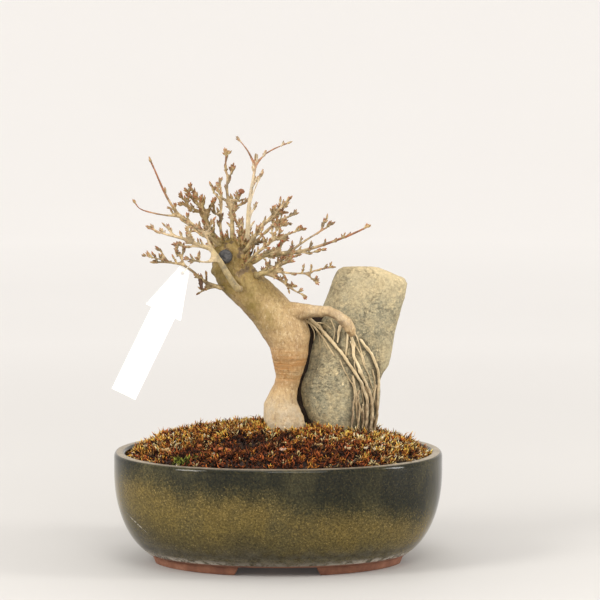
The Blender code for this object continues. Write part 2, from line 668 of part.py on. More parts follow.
# The branches, in mm from the middle of the rim: the first point of each is inside the trunk.
BRANCHES = {
    "branch_far_left": Shoot(
        ((-40, -4, 154), (-56, -7, 167), (-66, -9, 175), (-76, -11, 182), (-85, -13, 196),
         (-91, -15, 210), (-97, -17, 224)), 2.1, 0.65, pairs=1,
        forks=(Shoot(((-76, -11, 182), (-84, -11, 181), (-96, -12, 183.5), (-105, -14, 186),
                      (-109.5, -16, 193)), 1.2, 0.6),)),
    "branch_upright_left": Shoot(
        ((-40, 3, 155), (-51, 4, 166), (-55, 4, 175), (-58, 4, 184), (-59.5, 3, 195)), 3.1, 1.3,
        forks=(
            Shoot(((-57, 4, 180), (-65, 3, 185.5), (-76, 2, 190)), 1.9, 0.9,
                  forks=(Shoot(((-68, 3, 186), (-71, 0, 191), (-75.5, -2, 196)), 0.9, 0.7),)),
            Shoot(((-58, 4, 184), (-65, 8, 191), (-71, 10, 200)), 1.4, 0.8,
                  forks=(Shoot(((-65, 8, 191), (-65, 9, 194), (-64.5, 10, 199)), 0.9, 0.7),)),
            Shoot(((-57, 4, 182), (-52, 1, 186), (-48, -1, 193)), 1.5, 0.8),
            Shoot(((-58, 3, 183), (-62, -4, 189), (-65, -7, 196)), 1.2, 0.8),
        )),
    "branch_upright_back": Shoot(
        ((-37, 8, 152), (-45, 16, 166), (-45, 17, 180), (-44, 17, 192), (-46, 18, 207)), 1.7, 0.8,
        forks=(
            Shoot(((-44, 17, 190), (-50, 19, 196), (-53, 20, 204)), 1.0, 0.7),
            Shoot(((-45, 17, 178), (-49, 12, 181), (-50, 8, 188)), 1.0, 0.7),
        )),
    "branch_upright_centre": Shoot(
        ((-35, 1, 152), (-36, 1, 168), (-36, 1, 182), (-39, 0, 193), (-40, 0, 202), (-39, 0, 209),
         (-41, -1, 217), (-40, -2, 230)), 2.3, 0.7,
        forks=(
            Shoot(((-39, 0, 209), (-36, 1, 213), (-35, 2, 219)), 0.9, 0.6),
            Shoot(((-38, 0, 189), (-31, -3, 193), (-29, -5, 198)), 1.4, 0.9),
            Shoot(((-37, 1, 184), (-31, 2, 188), (-25, 3, 191)), 1.1, 0.7),
            Shoot(((-38, 0, 191), (-44, -5, 195), (-47, -7, 201)), 1.1, 0.8),
        )),
    "branch_tall": Shoot(
        ((-29, -1, 152), (-24, -2, 168), (-23.5, -2, 185), (-21, -3, 202), (-18.5, -4, 216),
         (-18, -4, 226)), 2.6, 1.0,
        forks=(
            Shoot(((-18.5, -4, 220), (-23, -5, 229), (-32, -7, 240)), 1.0, 0.6),
            Shoot(((-18.3, -4, 219), (-9, -7, 229), (8, -12, 236.5)), 1.0, 0.6),
            Shoot(((-22.5, -2, 193), (-18, -5, 203), (-13, -7, 212.5)), 1.1, 0.7),
            Shoot(((-24, -2, 180), (-20, 3, 184), (-18, 5, 188)), 0.8, 0.7),
        )),
    "branch_upper_right": Shoot(
        ((-30, -6, 150), (-19, -12, 165), (-11, -15, 176), (-1, -19, 186), (9, -22, 196)), 1.9, 0.8,
        pairs=2,
        forks=(Shoot(((-12, -15, 174), (-3, -13, 181), (6, -12, 190)), 1.1, 0.7, pairs=2),)),
    "branch_back_right": Shoot(
        ((-30, 6, 148), (-17, 13, 161), (-8, 17, 170), (3, 20, 177), (14, 23, 181)), 1.7, 0.75,
        pairs=2,
        forks=(Shoot(((-8, 17, 170), (0, 24, 172), (9, 31, 172)), 1.0, 0.7),)),
    "branch_right_spray": Shoot(
        ((-28, -8, 144), (-15, -18, 155), (-6, -23, 163), (5, -27, 168), (19, -31, 173)), 1.8, 0.75,
        pairs=2,
        forks=(Shoot(((-6, -23, 163), (-3, -21, 170), (3, -19, 176)), 1.0, 0.7),)),
    "branch_right": Shoot(
        ((-27, 0, 144), (-13, -2, 151), (3, -3, 152), (17, -5, 154), (36, -8, 160),
         (54, -12, 167), (68, -15, 174)), 3.2, 0.65,
        forks=(
            Shoot(((6, -3, 152), (20, 0, 162), (32, 3, 169), (41, 5, 174.5)), 1.5, 0.7,
                  forks=(Shoot(((32, 3, 169), (33, 5, 172), (35, 7, 177)), 0.9, 0.6),)),
            Shoot(((-4, -2, 152), (0, 3, 158), (5, 7, 164)), 1.2, 0.7),
            Shoot(((-2, -2, 152), (1, -8, 158), (4, -11, 163)), 1.2, 0.7),
            Shoot(((14, -4, 153), (24, -8, 153), (34, -10, 156)), 1.1, 0.7),
        )),
    "branch_low_right": Shoot(
        ((-22, -8, 132), (-11, -15, 139), (-3, -17, 141), (3, -17, 147), (10, -16, 147)), 3.0, 1.4,
        forks=(
            Shoot(((-6, -17, 140), (6, -20, 138.5), (21, -23, 139), (30, -25, 142),
                   (41, -28, 144)), 1.4, 0.7,
                  forks=(Shoot(((21, -23, 139), (24, -23, 135), (29, -24, 131)), 0.9, 0.7),)),
            Shoot(((-7, -16, 139), (3, -15, 132), (11, -16, 125), (20, -17, 121)), 1.4, 0.7,
                  pairs=1),
            Shoot(((1, -17, 145), (4, -24, 147), (10, -27, 151)), 1.1, 0.7),
        )),
    "branch_front_limb": Shoot(
        ((-24, -4, 126), (-33, -20, 127), (-38, -21, 136), (-44, -21, 147), (-51, -20, 157),
         (-61, -23, 160), (-71, -26, 165), (-87, -30, 169), (-98, -32, 174)), 3.4, 0.7,
        forks=(
            Shoot(((-52, -20, 157), (-54, -15, 164), (-60, -14, 172)), 1.6, 0.8,
                  forks=(Shoot(((-56, -15, 167), (-52, -17, 172), (-51, -19, 177)), 1.0, 0.7),)),
            Shoot(((-66, -25, 162), (-66, -28, 168), (-69, -31, 173)), 1.1, 0.8),
            Shoot(((-60, -23, 159), (-70, -27, 159.5), (-79, -30, 161)), 1.1, 0.65),
            Shoot(((-46, -21, 149), (-52, -26, 147), (-61, -29, 148), (-70, -31, 151)), 1.1, 0.65,
                  forks=(Shoot(((-60, -29, 148), (-60, -31, 151), (-59.5, -33, 155)), 0.8, 0.6),)),
            Shoot(((-77, -27, 167), (-83, -25, 172), (-87, -24, 176)), 0.9, 0.8),
        )),
    "branch_low_left": Shoot(
        ((-26, -4, 122), (-47, -11, 128), (-56, -14, 131), (-65, -17, 140), (-73, -19, 145),
         (-84, -21, 147), (-95, -23, 147)), 1.8, 0.7,
        forks=(
            Shoot(((-76, -20, 145), (-88, -25, 149), (-102, -29, 153)), 1.0, 0.6,
                  forks=(Shoot(((-84, -23, 148), (-87, -24, 153), (-91, -25, 158)), 0.9, 0.7),)),
            Shoot(((-73, -19, 145), (-73, -18, 151), (-72, -19, 160)), 1.1, 0.7,
                  forks=(Shoot(((-73, -18, 149), (-77, -15, 152), (-78, -13, 157)), 0.9, 0.7),)),
            Shoot(((-52, -12, 129), (-57, -12, 125), (-62, -11, 122)), 1.0, 0.7),
            Shoot(((-55, -14, 131), (-55, -17, 134), (-55, -18, 139)), 0.8, 0.7),
        )),
    "branch_back_left": Shoot(
        ((-36, 6, 146), (-46, 17, 155), (-56, 27, 162), (-66, 36, 168), (-76, 46, 174)), 2.2, 0.7,
        pairs=2,
        forks=(
            Shoot(((-56, 27, 162), (-64, 25, 168), (-70, 24, 176)), 1.1, 0.7),
            Shoot(((-60, 31, 164), (-58, 40, 168), (-58, 50, 174)), 1.1, 0.7),
        )),
    "branch_back": Shoot(
        ((-32, 6, 143), (-28, 20, 150), (-26, 33, 157), (-28, 46, 165), (-32, 60, 173)), 2.3, 0.7,
        pairs=2,
        forks=(
            Shoot(((-26, 33, 157), (-19, 42, 164), (-12, 50, 171)), 1.2, 0.7),
            Shoot(((-26, 31, 157), (-31, 36, 167), (-35, 38, 179)), 1.1, 0.7),
        )),
    "branch_back_low": Shoot(
        ((-22, 4, 126), (-16, 18, 131), (-8, 30, 136), (2, 42, 141), (14, 52, 147)), 2.0, 0.7,
        pairs=2,
        forks=(Shoot(((-6, 32, 137), (-10, 42, 141), (-14, 53, 147)), 1.1, 0.7),)),
}


# ---------------------------------------------------------------- roots over the stone


# Each root's course over the stone's face, in mm right of the rim's middle and above the rim,
# then its radius at the top and the bottom. It is laid on the stone from the front.
ROOTS = {
    "root_diagonal": (
        ((31.5, 94.5), (38, 87), (45.5, 78), (54.5, 66), (61.8, 54), (66.2, 42), (67.6, 29), (65.4, 14)),
        1.5, 1.1),
    "root_middle": (
        ((54, 89.5), (56.8, 82.7), (57.6, 73.6), (60.8, 63), (66.6, 51), (69.8, 42), (71, 28), (68.8, 14)),
        1.6, 1.1),
    "root_right": (
        ((63, 85), (67, 79.5), (71, 72), (74.4, 64), (76, 57), (75.6, 49), (74.8, 38), (74.2, 26), (72, 14)),
        1.3, 1.1),
    "root_short": (((46.6, 95.5), (45.6, 90), (45.2, 82.4)), 1.1, 0.9),
    "root_fine_left": (((56.2, 53), (57.8, 46), (57.2, 36), (56.2, 25), (57, 14)), 0.8, 0.8),
    "root_fine_middle": (((60.2, 43), (61.3, 34), (60.3, 24), (60.8, 14)), 0.8, 0.8),
    "root_fine_right": (((63.6, 36), (64.2, 28), (63.2, 20), (62.6, 14)), 0.7, 0.7),
}
ROOT_DEPTH = 8 * MM  # how far the roots run on down into the soil
ROOT_SPACING = 5 * MM


def on_rock(rock_surface, x, height, radius):
    """Where a root of this radius rests on the stone's front, at this place in the front view."""
    start = plant_point(x, -80, height)
    hit, normal, _, _ = rock_surface.ray_cast(start, Vector((0, 1, 0)))
    if hit is None:
        hit, normal, _, _ = rock_surface.find_nearest(start + Vector((0, 80 * MM, 0)))
    return hit + normal * (radius + ROOT_STANDOFF)


def make_root(name, rock_surface):
    course, thick, thin = ROOTS[name]
    course = smooth_path([Vector((x, 0, height)) for x, height in course], ROOT_SPACING / MM)
    count = len(course) - 1
    radii = [(thick + (thin - thick) * i / count) * MM for i in range(count + 1)]
    path = [on_rock(rock_surface, p.x, p.z, r) for p, r in zip(course, radii)]
    if name != "root_short":
        path.append(path[-1] - Vector((0, 0, ROOT_DEPTH)))
        radii.append(thin * MM * 0.6)
    return make_object(name, tube(path, radii, 6), "root")


def make_root_pocket(roots, moss_top):
    """One convex room in the soil and moss for all the roots, which reaches into the stone's own room."""
    bm = bmesh.new()
    for root in roots:
        corners = [v.co for v in root.data.vertices if v.co.z < moss_top]
        for co in corners:
            bm.verts.new(co)
            bm.verts.new(co + Vector((0, POCKET_DEPTH, 0)))
    bmesh.ops.convex_hull(bm, input=bm.verts[:])
    bmesh.ops.delete(bm, geom=[v for v in bm.verts if not v.link_faces], context="VERTS")
    return make_object("root_pocket", bm, "soil")


# ---------------------------------------------------------------- wound and label


def make_wound(trunk_surface):
    """A black cap of cut paste over an old pruning scar on the head's front."""
    inside, out = plant_point(-39, -4, 148), plant_point(-40, -30, 150)
    hit, normal, _, _ = trunk_surface.ray_cast(inside, (out - inside).normalized())
    across = frame_across(normal, None)
    profile = ((0.6, 5.2), (2.2, 5.2), (3.2, 4.2), (3.0, 2.4))
    bm = bmesh.new()
    loft(bm, [ring_at(hit + normal * h * MM, normal, across, r * MM, 14) for h, r in profile])
    return make_object("wound_seal", bm, "wound")


LABEL_TOP = (-70, -25, 140.6)
LABEL_FOOT = (-115, -37, 48.6)
TIE_TWIG = (-67.8, -18, 141.2)  # where the tie goes round its twig
HOLE_DROP = 3.4 * MM


def label_frame():
    """The label's middle line as (top, down, across, front), in metres and unit vectors."""
    top, foot = plant_point(*LABEL_TOP), plant_point(*LABEL_FOOT)
    down = (foot - top).normalized()
    front = Vector((0, -1, 0))
    across = front.cross(down).normalized()
    return top, down, across, down.cross(across).normalized()


def make_label():
    """A blank label: an arrow-shaped head with a hole for its tie, and a long blade."""
    top, down, across, front = label_frame()
    outline = [
        (0, LABEL_NECK_WIDTH / 2),
        (LABEL_HEAD_LENGTH, LABEL_HEAD_WIDTH / 2),
        (LABEL_HEAD_LENGTH, LABEL_WIDTH / 2),
        (LABEL_LENGTH, LABEL_WIDTH / 2),
    ]
    sides = outline + [(d, -w) for d, w in reversed(outline)]
    bm = bmesh.new()
    face = bm.faces.new([bm.verts.new(top + down * d + across * w) for d, w in sides])
    raised = bmesh.ops.extrude_face_region(bm, geom=[face])["geom"]
    verts = [v for v in raised if isinstance(v, bmesh.types.BMVert)]
    bmesh.ops.translate(bm, vec=front * LABEL_THICK, verts=verts)
    label = make_object("label", bm, "label")
    cutter = bmesh.new()
    bmesh.ops.create_cone(
        cutter, cap_ends=True, segments=12, radius1=LABEL_HOLE_RADIUS, radius2=LABEL_HOLE_RADIUS,
        depth=LABEL_THICK * 8,
    )
    turn = front.to_track_quat("Z", "Y").to_matrix().to_4x4()
    at = Matrix.Translation(top + down * HOLE_DROP)
    bmesh.ops.transform(cutter, matrix=at @ turn, verts=cutter.verts[:])
    boolean(label, "DIFFERENCE", make_object("label_hole", cutter, "label"))
    return label


def make_tie():
    """A thin closed loop through the label's hole and round its twig."""
    top, down, _, front = label_frame()
    hole = top + down * HOLE_DROP
    twig = plant_point(*TIE_TWIG) - hole
    up = (twig - front * twig.dot(front)).normalized()
    far, back = twig.dot(up) / MM, twig.dot(front) / MM
    course = (
        (0, -1.6), (0, 1.8), (2.2, 3.2), (5, 1.6), (far + 1.5, back / 2), (far + 2.6, back + 0.6),
        (far + 1, back - 2.4), (far - 2.2, back - 1.6), (1.2, back / 2),
    )
    corners = [hole + (up * a + front * b) * MM for a, b in course]
    path = smooth_path(corners + corners[:1], 2 * MM)[:-1]
    plane = up.cross(front)
    bm = bmesh.new()
    rings = []
    for i, point in enumerate(path):
        along = path[(i + 1) % len(path)] - path[i - 1]
        rings.append([bm.verts.new(p) for p in ring_at(point, along, plane, TIE_RADIUS, 6)])
    for low, high in zip(rings, rings[1:] + rings[:1]):
        for i in range(6):
            j = (i + 1) % 6
            bm.faces.new((low[i], low[j], high[j], high[i]))
    return make_object("label_tie", bm, "tie")


# ---------------------------------------------------------------- assembly


def make_pockets(name, z_low, z_high, half):
    """Room in the soil over one drain hole, for its screen and wire."""
    bm = bmesh.new()
    bmesh.ops.create_cube(bm, size=1)
    size = Vector((half * 2, half * 2, z_high - z_low))
    bmesh.ops.scale(bm, vec=size, verts=bm.verts[:])
    bmesh.ops.translate(bm, vec=(0, 0, (z_low + z_high) / 2), verts=bm.verts[:])
    side = -1 if name.endswith("left") else 1
    bmesh.ops.translate(bm, vec=(side * DRAIN_SPACING / 2, 0, 0), verts=bm.verts[:])
    return make_object(name, bm, "soil")


def main():
    clear_scene()
    make_pot()
    for end, side_x in (("left", -1), ("right", 1)):
        for face, side_y in (("front", -1), ("back", 1)):
            make_foot(f"pot_foot_{face}_{end}", side_x, side_y)
    for word, side in (("left", -1), ("right", 1)):
        make_screen(f"drain_screen_{word}", side)
        make_screen_wire(f"screen_wire_{word}", side)
    rock = make_rock()
    trunk = make_trunk(rock)
    rock_surface, trunk_surface = surface_of(rock), surface_of(trunk)
    for name, shoot in BRANCHES.items():
        make_branch(name, shoot, trunk_surface)
    roots = [make_root(name, rock_surface) for name in ROOTS]
    make_wound(trunk_surface)
    make_label()
    make_tie()

    soil, moss = make_soil(), make_moss()
    pocket = make_root_pocket(roots, POT_HEIGHT + MOUND_RISE)
    rooms = [grown_copy(obj, GAP) for obj in (rock, trunk, pocket)]
    make_helper(pocket)
    boolean(moss, "DIFFERENCE", *rooms)
    boolean(soil, "DIFFERENCE", *rooms)
    half = SCREEN_PITCH * SCREEN_CELLS / 2 + SCREEN_BAR / 2 + GAP
    high = FLOOR_Z + 3 * GAP + SCREEN_THICK + 2 * WIRE_RADIUS
    for word in ("left", "right"):
        boolean(soil, "DIFFERENCE", make_pockets(f"screen_room_{word}", 0, high, half))


main()
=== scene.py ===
"""The looks of a leafless root-over-rock maple bonsai in an oval glazed pot, built round its CAD model.

Metres, +Z up, in the CAD model's frame: the origin is the middle of the pot's footprint, the tree's
front faces -Y, and its head leans towards -X.
"""

import math
import random

import bmesh
import bpy
import numpy as np
from mathutils import Matrix, Vector, noise
from mathutils.bvhtree import BVHTree


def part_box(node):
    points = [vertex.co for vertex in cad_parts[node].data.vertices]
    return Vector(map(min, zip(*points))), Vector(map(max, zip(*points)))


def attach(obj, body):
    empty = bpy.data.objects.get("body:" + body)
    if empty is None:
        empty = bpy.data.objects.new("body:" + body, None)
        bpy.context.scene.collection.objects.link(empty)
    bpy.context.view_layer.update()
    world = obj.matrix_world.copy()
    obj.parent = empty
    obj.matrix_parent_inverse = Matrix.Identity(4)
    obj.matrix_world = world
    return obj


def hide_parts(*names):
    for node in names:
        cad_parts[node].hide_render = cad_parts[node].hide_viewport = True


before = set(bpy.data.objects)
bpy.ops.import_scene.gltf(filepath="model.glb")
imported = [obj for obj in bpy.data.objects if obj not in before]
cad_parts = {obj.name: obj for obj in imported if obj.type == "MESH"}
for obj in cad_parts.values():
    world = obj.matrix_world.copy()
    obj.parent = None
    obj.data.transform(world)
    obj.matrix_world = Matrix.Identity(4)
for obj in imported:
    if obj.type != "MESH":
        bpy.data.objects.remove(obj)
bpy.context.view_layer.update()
MM = 0.001
POT_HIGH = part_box("pot")[1]
RIM_Z = POT_HIGH.z
RIM = Vector((0, 0, RIM_Z))
HEAD = Vector((-34, 0, 66)) * MM + RIM  # a point below the trunk's head, which the branches point away from
CROWN = HEAD + Vector((0, 0, 80)) * MM  # the middle of the crown


# ---------------------------------------------------------------- mesh helpers


def over_rim(point):
    """How high a point is over the pot's rim, in mm."""
    return (point.z - RIM_Z) / MM


def add_piece(name, mesh, material, replaced=()):
    """Puts a mesh in the scene as a piece that stands for these CAD nodes."""
    obj = bpy.data.objects.new(name, mesh)
    bpy.context.scene.collection.objects.link(obj)
    mesh.materials.clear()
    mesh.materials.append(material)
    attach(obj, "root")
    if replaced:
        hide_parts(*replaced)
    return obj


def cad_bmesh(*nodes):
    """The surfaces of these CAD nodes as one bmesh, with their split vertices joined again."""
    bm = bmesh.new()
    for node in nodes:
        bm.from_mesh(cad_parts[node].data)
    bmesh.ops.remove_doubles(bm, verts=bm.verts[:], dist=1e-6)
    return bm


def tree_of(*nodes):
    """A tree of the surfaces of these CAD nodes, for finding the nearest point or a ray's hit."""
    bm = cad_bmesh(*nodes)
    tree = BVHTree.FromBMesh(bm)
    bm.free()
    return tree


def quads_of(node):
    """A CAD node's surface with its triangles joined back into quads."""
    bm = cad_bmesh(node)
    bmesh.ops.join_triangles(
        bm, faces=bm.faces[:], angle_face_threshold=0.9, angle_shape_threshold=1.2,
        cmp_seam=False, cmp_sharp=False, cmp_uvs=False, cmp_vcols=False, cmp_materials=False,
    )
    return bm


def to_mesh(bm, name):
    """The bmesh as a smooth mesh, without the CAD model's own normals."""
    mesh = bpy.data.meshes.new(name)
    bm.to_mesh(mesh)
    bm.free()
    custom = mesh.attributes.get("custom_normal")
    if custom:
        mesh.attributes.remove(custom)
    mesh.shade_smooth()
    return mesh


def mesh_from(name, verts, faces):
    mesh = bpy.data.meshes.new(name)
    mesh.from_pydata(verts, [], faces)
    mesh.update()
    mesh.shade_smooth()
    return mesh


def modified(mesh, *modifiers):
    """The mesh after these modifiers, each given as (type, {setting: value})."""
    obj = bpy.data.objects.new("scratch", mesh)
    bpy.context.scene.collection.objects.link(obj)
    for kind, settings in modifiers:
        modifier = obj.modifiers.new(kind, kind)
        for key, value in settings.items():
            setattr(modifier, key, value)
    graph = bpy.context.evaluated_depsgraph_get()
    made = bpy.data.meshes.new_from_object(obj.evaluated_get(graph))
    bpy.data.objects.remove(obj)
    made.shade_smooth()
    return made


def subdivided(bm, name, levels):
    """The bmesh as a mesh, smoothed by this many subdivisions."""
    return modified(to_mesh(bm, name), ("SUBSURF", {"levels": levels, "render_levels": levels}))


def remeshed(node, voxel, smoothing):
    """A CAD node's surface as an even fine mesh, with its flat facets smoothed away."""
    return modified(
        to_mesh(cad_bmesh(node), node),
        ("REMESH", {"mode": "VOXEL", "voxel_size": voxel}),
        ("SMOOTH", {"factor": 0.5, "iterations": smoothing}),
    )


def displace(mesh, height):
    """Moves each vertex along its normal by height(point, normal)."""
    moved = [v.co + v.normal * height(v.co, v.normal) for v in mesh.vertices]
    mesh.vertices.foreach_set("co", np.array(moved).ravel())
    mesh.update()


def paint(mesh, name, values):
    """Stores one colour for each vertex, given as rows of three numbers."""
    rows = np.ones((len(mesh.vertices), 4))
    rows[:, :3] = values
    layer = mesh.color_attributes.new(name, "FLOAT_COLOR", "POINT")
    layer.data.foreach_set("color", rows.ravel())


def rumple(point, size, seed=0.0, octaves=4):
    """Smooth noise from about -1 to 1, with detail down from this size."""
    at = point / size + Vector((seed, seed * 1.7, -seed))
    return noise.fractal(at, 1.0, 2.0, octaves)


def step(low, high, value):
    """0 below low and 1 above high, with a smooth rise between them."""
    t = min(1.0, max(0.0, (value - low) / (high - low)))
    return t * t * (3 - 2 * t)


# ---------------------------------------------------------------- material helpers


class Shader:
    """A material's node tree, with short calls to make its nodes."""

    def __init__(self, name, **sockets):
        self.material = bpy.data.materials.new(name)
        self.material.use_nodes = True
        self.tree = self.material.node_tree
        self.surface = self.tree.nodes["Principled BSDF"]
        self.place = self.node("TexCoord")["Object"]
        for key, value in sockets.items():
            self.set(self.surface, key.replace("_", " "), value)

    def set(self, made, key, value):
        socket = made.inputs[key]
        if isinstance(value, bpy.types.NodeSocket):
            self.tree.links.new(value, socket)
        else:
            socket.default_value = value

    def node(self, kind, inputs=(), **settings):
        made = self.tree.nodes.new("ShaderNode" + kind)
        for key, value in settings.items():
            setattr(made, key, value)
        for key, value in dict(inputs).items():
            self.set(made, key, value)
        return made.outputs

    def noise(self, scale, detail=4.0, roughness=0.55, stretch=(1, 1, 1), distortion=0.0):
        """Noise with features of about one over scale, in metres."""
        vector = self.node("Mapping", {"Vector": self.place, "Scale": stretch})[0]
        return self.node("TexNoise", {
            "Vector": vector, "Scale": scale, "Detail": detail, "Roughness": roughness,
            "Distortion": distortion,
        })["Fac"]

    def cells(self, scale, stretch=(1, 1, 1), output="Distance"):
        """Cells of about one over scale, in metres: the distance from their middles, or their colours."""
        vector = self.node("Mapping", {"Vector": self.place, "Scale": stretch})[0]
        return self.node("TexVoronoi", {"Vector": vector, "Scale": scale})[output]

    def ramp(self, value, *stops):
        """Colours, or greys if each stop has one number, along value."""
        made = self.tree.nodes.new("ShaderNodeValToRGB")
        self.tree.links.new(value, made.inputs[0])
        ends = made.color_ramp.elements
        while len(ends) < len(stops):
            ends.new(0.5)
        for end, (at, colour) in zip(ends, stops):
            end.position = at
            end.color = (*colour, 1) if isinstance(colour, tuple) else (colour, colour, colour, 1)
        return made.outputs[0]

    def mix(self, share, a, b, blend="MIX"):
        made = self.tree.nodes.new("ShaderNodeMix")
        made.data_type = "RGBA"
        made.blend_type = blend
        for index, value in ((0, share), (6, a), (7, b)):
            if isinstance(value, bpy.types.NodeSocket):
                self.tree.links.new(value, made.inputs[index])
            elif index and not isinstance(value, float):
                made.inputs[index].default_value = (*value, 1)
            else:
                made.inputs[index].default_value = value
        return made.outputs[2]

    def math(self, operation, a, b=0.0, c=0.0):
        return self.node("Math", {0: a, 1: b, 2: c}, operation=operation)[0]

    def times(self, a, b):
        return self.math("MULTIPLY", a, b)

    def plus(self, a, b):
        return self.math("ADD", a, b)

    def share(self, value, low, high):
        """0 where value is at low and 1 where it is at high, held past both."""
        return self.node("MapRange", {"Value": value, "From Min": low, "From Max": high})[0]

    def tinted(self, a, b, share=1.0):
        """Colour a multiplied by colour b."""
        return self.mix(share, a, b, "MULTIPLY")

    def grains(self, grain, *stops):
        """Noise of this scale, detail and so on, run through a ramp of these stops."""
        return self.ramp(self.noise(*grain), *stops)

    def colour(self, value):
        self.set(self.surface, "Base Color", value)

    def height(self):
        """The point's height over the ground, in metres."""
        return self.node("SeparateXYZ", {0: self.place})["Z"]

    def attribute(self, name):
        return self.node("Attribute", attribute_name=name)["Color"]

    def bump(self, height, distance, strength=1.0):
        normal = self.node("Bump", {"Height": height, "Distance": distance, "Strength": strength})[0]
        self.set(self.surface, "Normal", normal)


# ---------------------------------------------------------------- pot


OVAL_POWER = 2.15  # 2 would be an ellipse
BELLY_SWEEP = 52 * MM
BELLY_POWER = 2.3
LIP_HEIGHT = 12 * MM
WALL = 9 * MM
FLOOR = 9 * MM
FOOT_HEIGHT = 7 * MM
FOOT_WIDTH = 13 * MM
FOOT_SETBACK = 1.2 * MM
FOOT_TAPER = 2 * MM
DRAIN_RADIUS = 9 * MM
FRONT_GAP, END_GAP, GAP_SLOPE = 56.5 * MM, 30.5 * MM, 3.7 * MM
RIM_ROUND = 3 * MM
HALF_X, HALF_Y = POT_HIGH.x, POT_HIGH.y
AROUND = 160  # points round the pot
# Glaze colours up the belly: the teal-black top is partly the glaze's own colour and partly painted
# reflection.
BOWL_COLOURS = (
    (0.0, (0.045, 0.04, 0.025)), (0.1, (0.05, 0.042, 0.018)), (0.3, (0.1, 0.075, 0.021)),
    (0.5, (0.1, 0.072, 0.02)), (0.68, (0.02, 0.02, 0.009)), (0.8, (0.007, 0.0095, 0.0065)),
    (1.0, (0.007, 0.009, 0.007)),
)
RIM_COLOURS = (0.3, (0.2, 0.17, 0.125)), (0.55, (0.33, 0.28, 0.21)), (0.75, (0.44, 0.38, 0.3))
DEPOSIT = (0.5, 0.45, 0.38)
GLAZE_END = 8 * MM  # height of the glaze's lower edge
SCRATCH_X, SCRATCH_Z, SCRATCH_SLOPE = -105 * MM, 36 * MM, -0.75


def belly_inset(z):
    """How far the pot's outer face stands in from the rim's outline."""
    drop = RIM_Z - LIP_HEIGHT
    depth = min(1.0, max(0.0, drop - z) / drop)
    return BELLY_SWEEP * (1 - (1 - depth**BELLY_POWER) ** (1 / BELLY_POWER))


def oval(inset, z):
    """The rim's outline drawn in by inset, at height z."""
    ring = []
    for i in range(AROUND):
        c, s = math.cos(math.tau * i / AROUND), math.sin(math.tau * i / AROUND)
        x = math.copysign(abs(c) ** (2 / OVAL_POWER), c)
        y = math.copysign(abs(s) ** (2 / OVAL_POWER), s)
        ring.append(Vector(((HALF_X - inset) * x, (HALF_Y - inset) * y, z)))
    return ring


def lofted(name, rings, closed=False):
    """One skin over rings of points: capped at its ends, or closed on itself."""
    count = len(rings[0])
    verts = [p for ring in rings for p in ring]
    faces = []
    for r in range(len(rings) - 1 + closed):
        low, high = r * count, (r + 1) % len(rings) * count
        for i in range(count):
            j = (i + 1) % count
            faces.append((low + i, low + j, high + j, high + i))
    if not closed:
        faces.append(tuple(range(count))[::-1])
        faces.append(tuple(range(len(verts) - count, len(verts))))
    return mesh_from(name, verts, faces)


def pot_profile():
    """(inset, height) down the outside from the rim, under the base and up the inside."""
    profile = []
    for k in range(25):
        z = FOOT_HEIGHT + (RIM_Z - RIM_ROUND - FOOT_HEIGHT) * (k / 24) ** 1.25
        profile.append((belly_inset(z), z))
    for k in range(1, 6):
        a = math.pi / 2 * k / 6
        profile.append((RIM_ROUND * (1 - math.cos(a)), RIM_Z - RIM_ROUND * (1 - math.sin(a))))
    crown = WALL - 2 * RIM_ROUND
    for k in range(5):
        profile.append((RIM_ROUND + crown * k / 4, RIM_Z + 0.12 * MM * math.sin(math.pi * k / 4)))
    for k in range(1, 6):
        a = math.pi / 2 * k / 6
        profile.append((WALL - RIM_ROUND * (1 - math.sin(a)), RIM_Z - RIM_ROUND * (1 - math.cos(a))))
    for k in range(17):
        z = RIM_Z - RIM_ROUND - (RIM_Z - RIM_ROUND - FOOT_HEIGHT - FLOOR) * k / 16
        profile.append((belly_inset(z) + WALL, z))
    return profile


def glaze_body(s, x, z):
    """Olive low down and teal-black high up, with a swaying border, streaks, specks and grain; the
    teal-black top is partly the glaze's own colour and partly painted reflection of dark surroundings.
    """
    sway = s.math("MULTIPLY_ADD", s.noise(13, 4, 0.55, (1, 1, 0.4)), 0.07, -0.035)
    share = s.share(s.plus(s.plus(z, sway), s.times(x, 0.06)), GLAZE_END, RIM_Z)
    body = s.ramp(share, *BOWL_COLOURS)
    olive = s.ramp(share, (0.1, 0.5), (0.55, 1.0), (0.8, 0.18))
    streaks = s.grains((34, 5, 0.6, (1, 1, 0.5)), (0.45, 0.0), (0.68, 0.8))
    streaked = s.mix(streaks, body, (0.05, 0.046, 0.022))
    fine = s.grains((700, 6, 0.75), (0.42, 0.0), (0.66, 0.75))
    mottled = s.mix(s.times(fine, olive), streaked, (0.19, 0.14, 0.042))
    specks = s.times(s.ramp(s.cells(520), (0.0, 1.0), (0.14, 0.85), (0.26, 0.0)), olive)
    speckled = s.mix(s.times(specks, 0.55), mottled, (0.36, 0.27, 0.11))
    dark = s.times(s.ramp(s.cells(300), (0.08, 0.6), (0.2, 0.0)), s.grains((40, 3), (0.4, 0.0), (0.6, 1.0)))
    spotted = s.mix(dark, speckled, (0.02, 0.02, 0.012))
    return s.tinted(spotted, s.grains((620, 4, 0.8), (0.38, (0.45, 0.45, 0.45)), (0.62, (1.4, 1.37, 1.3))))


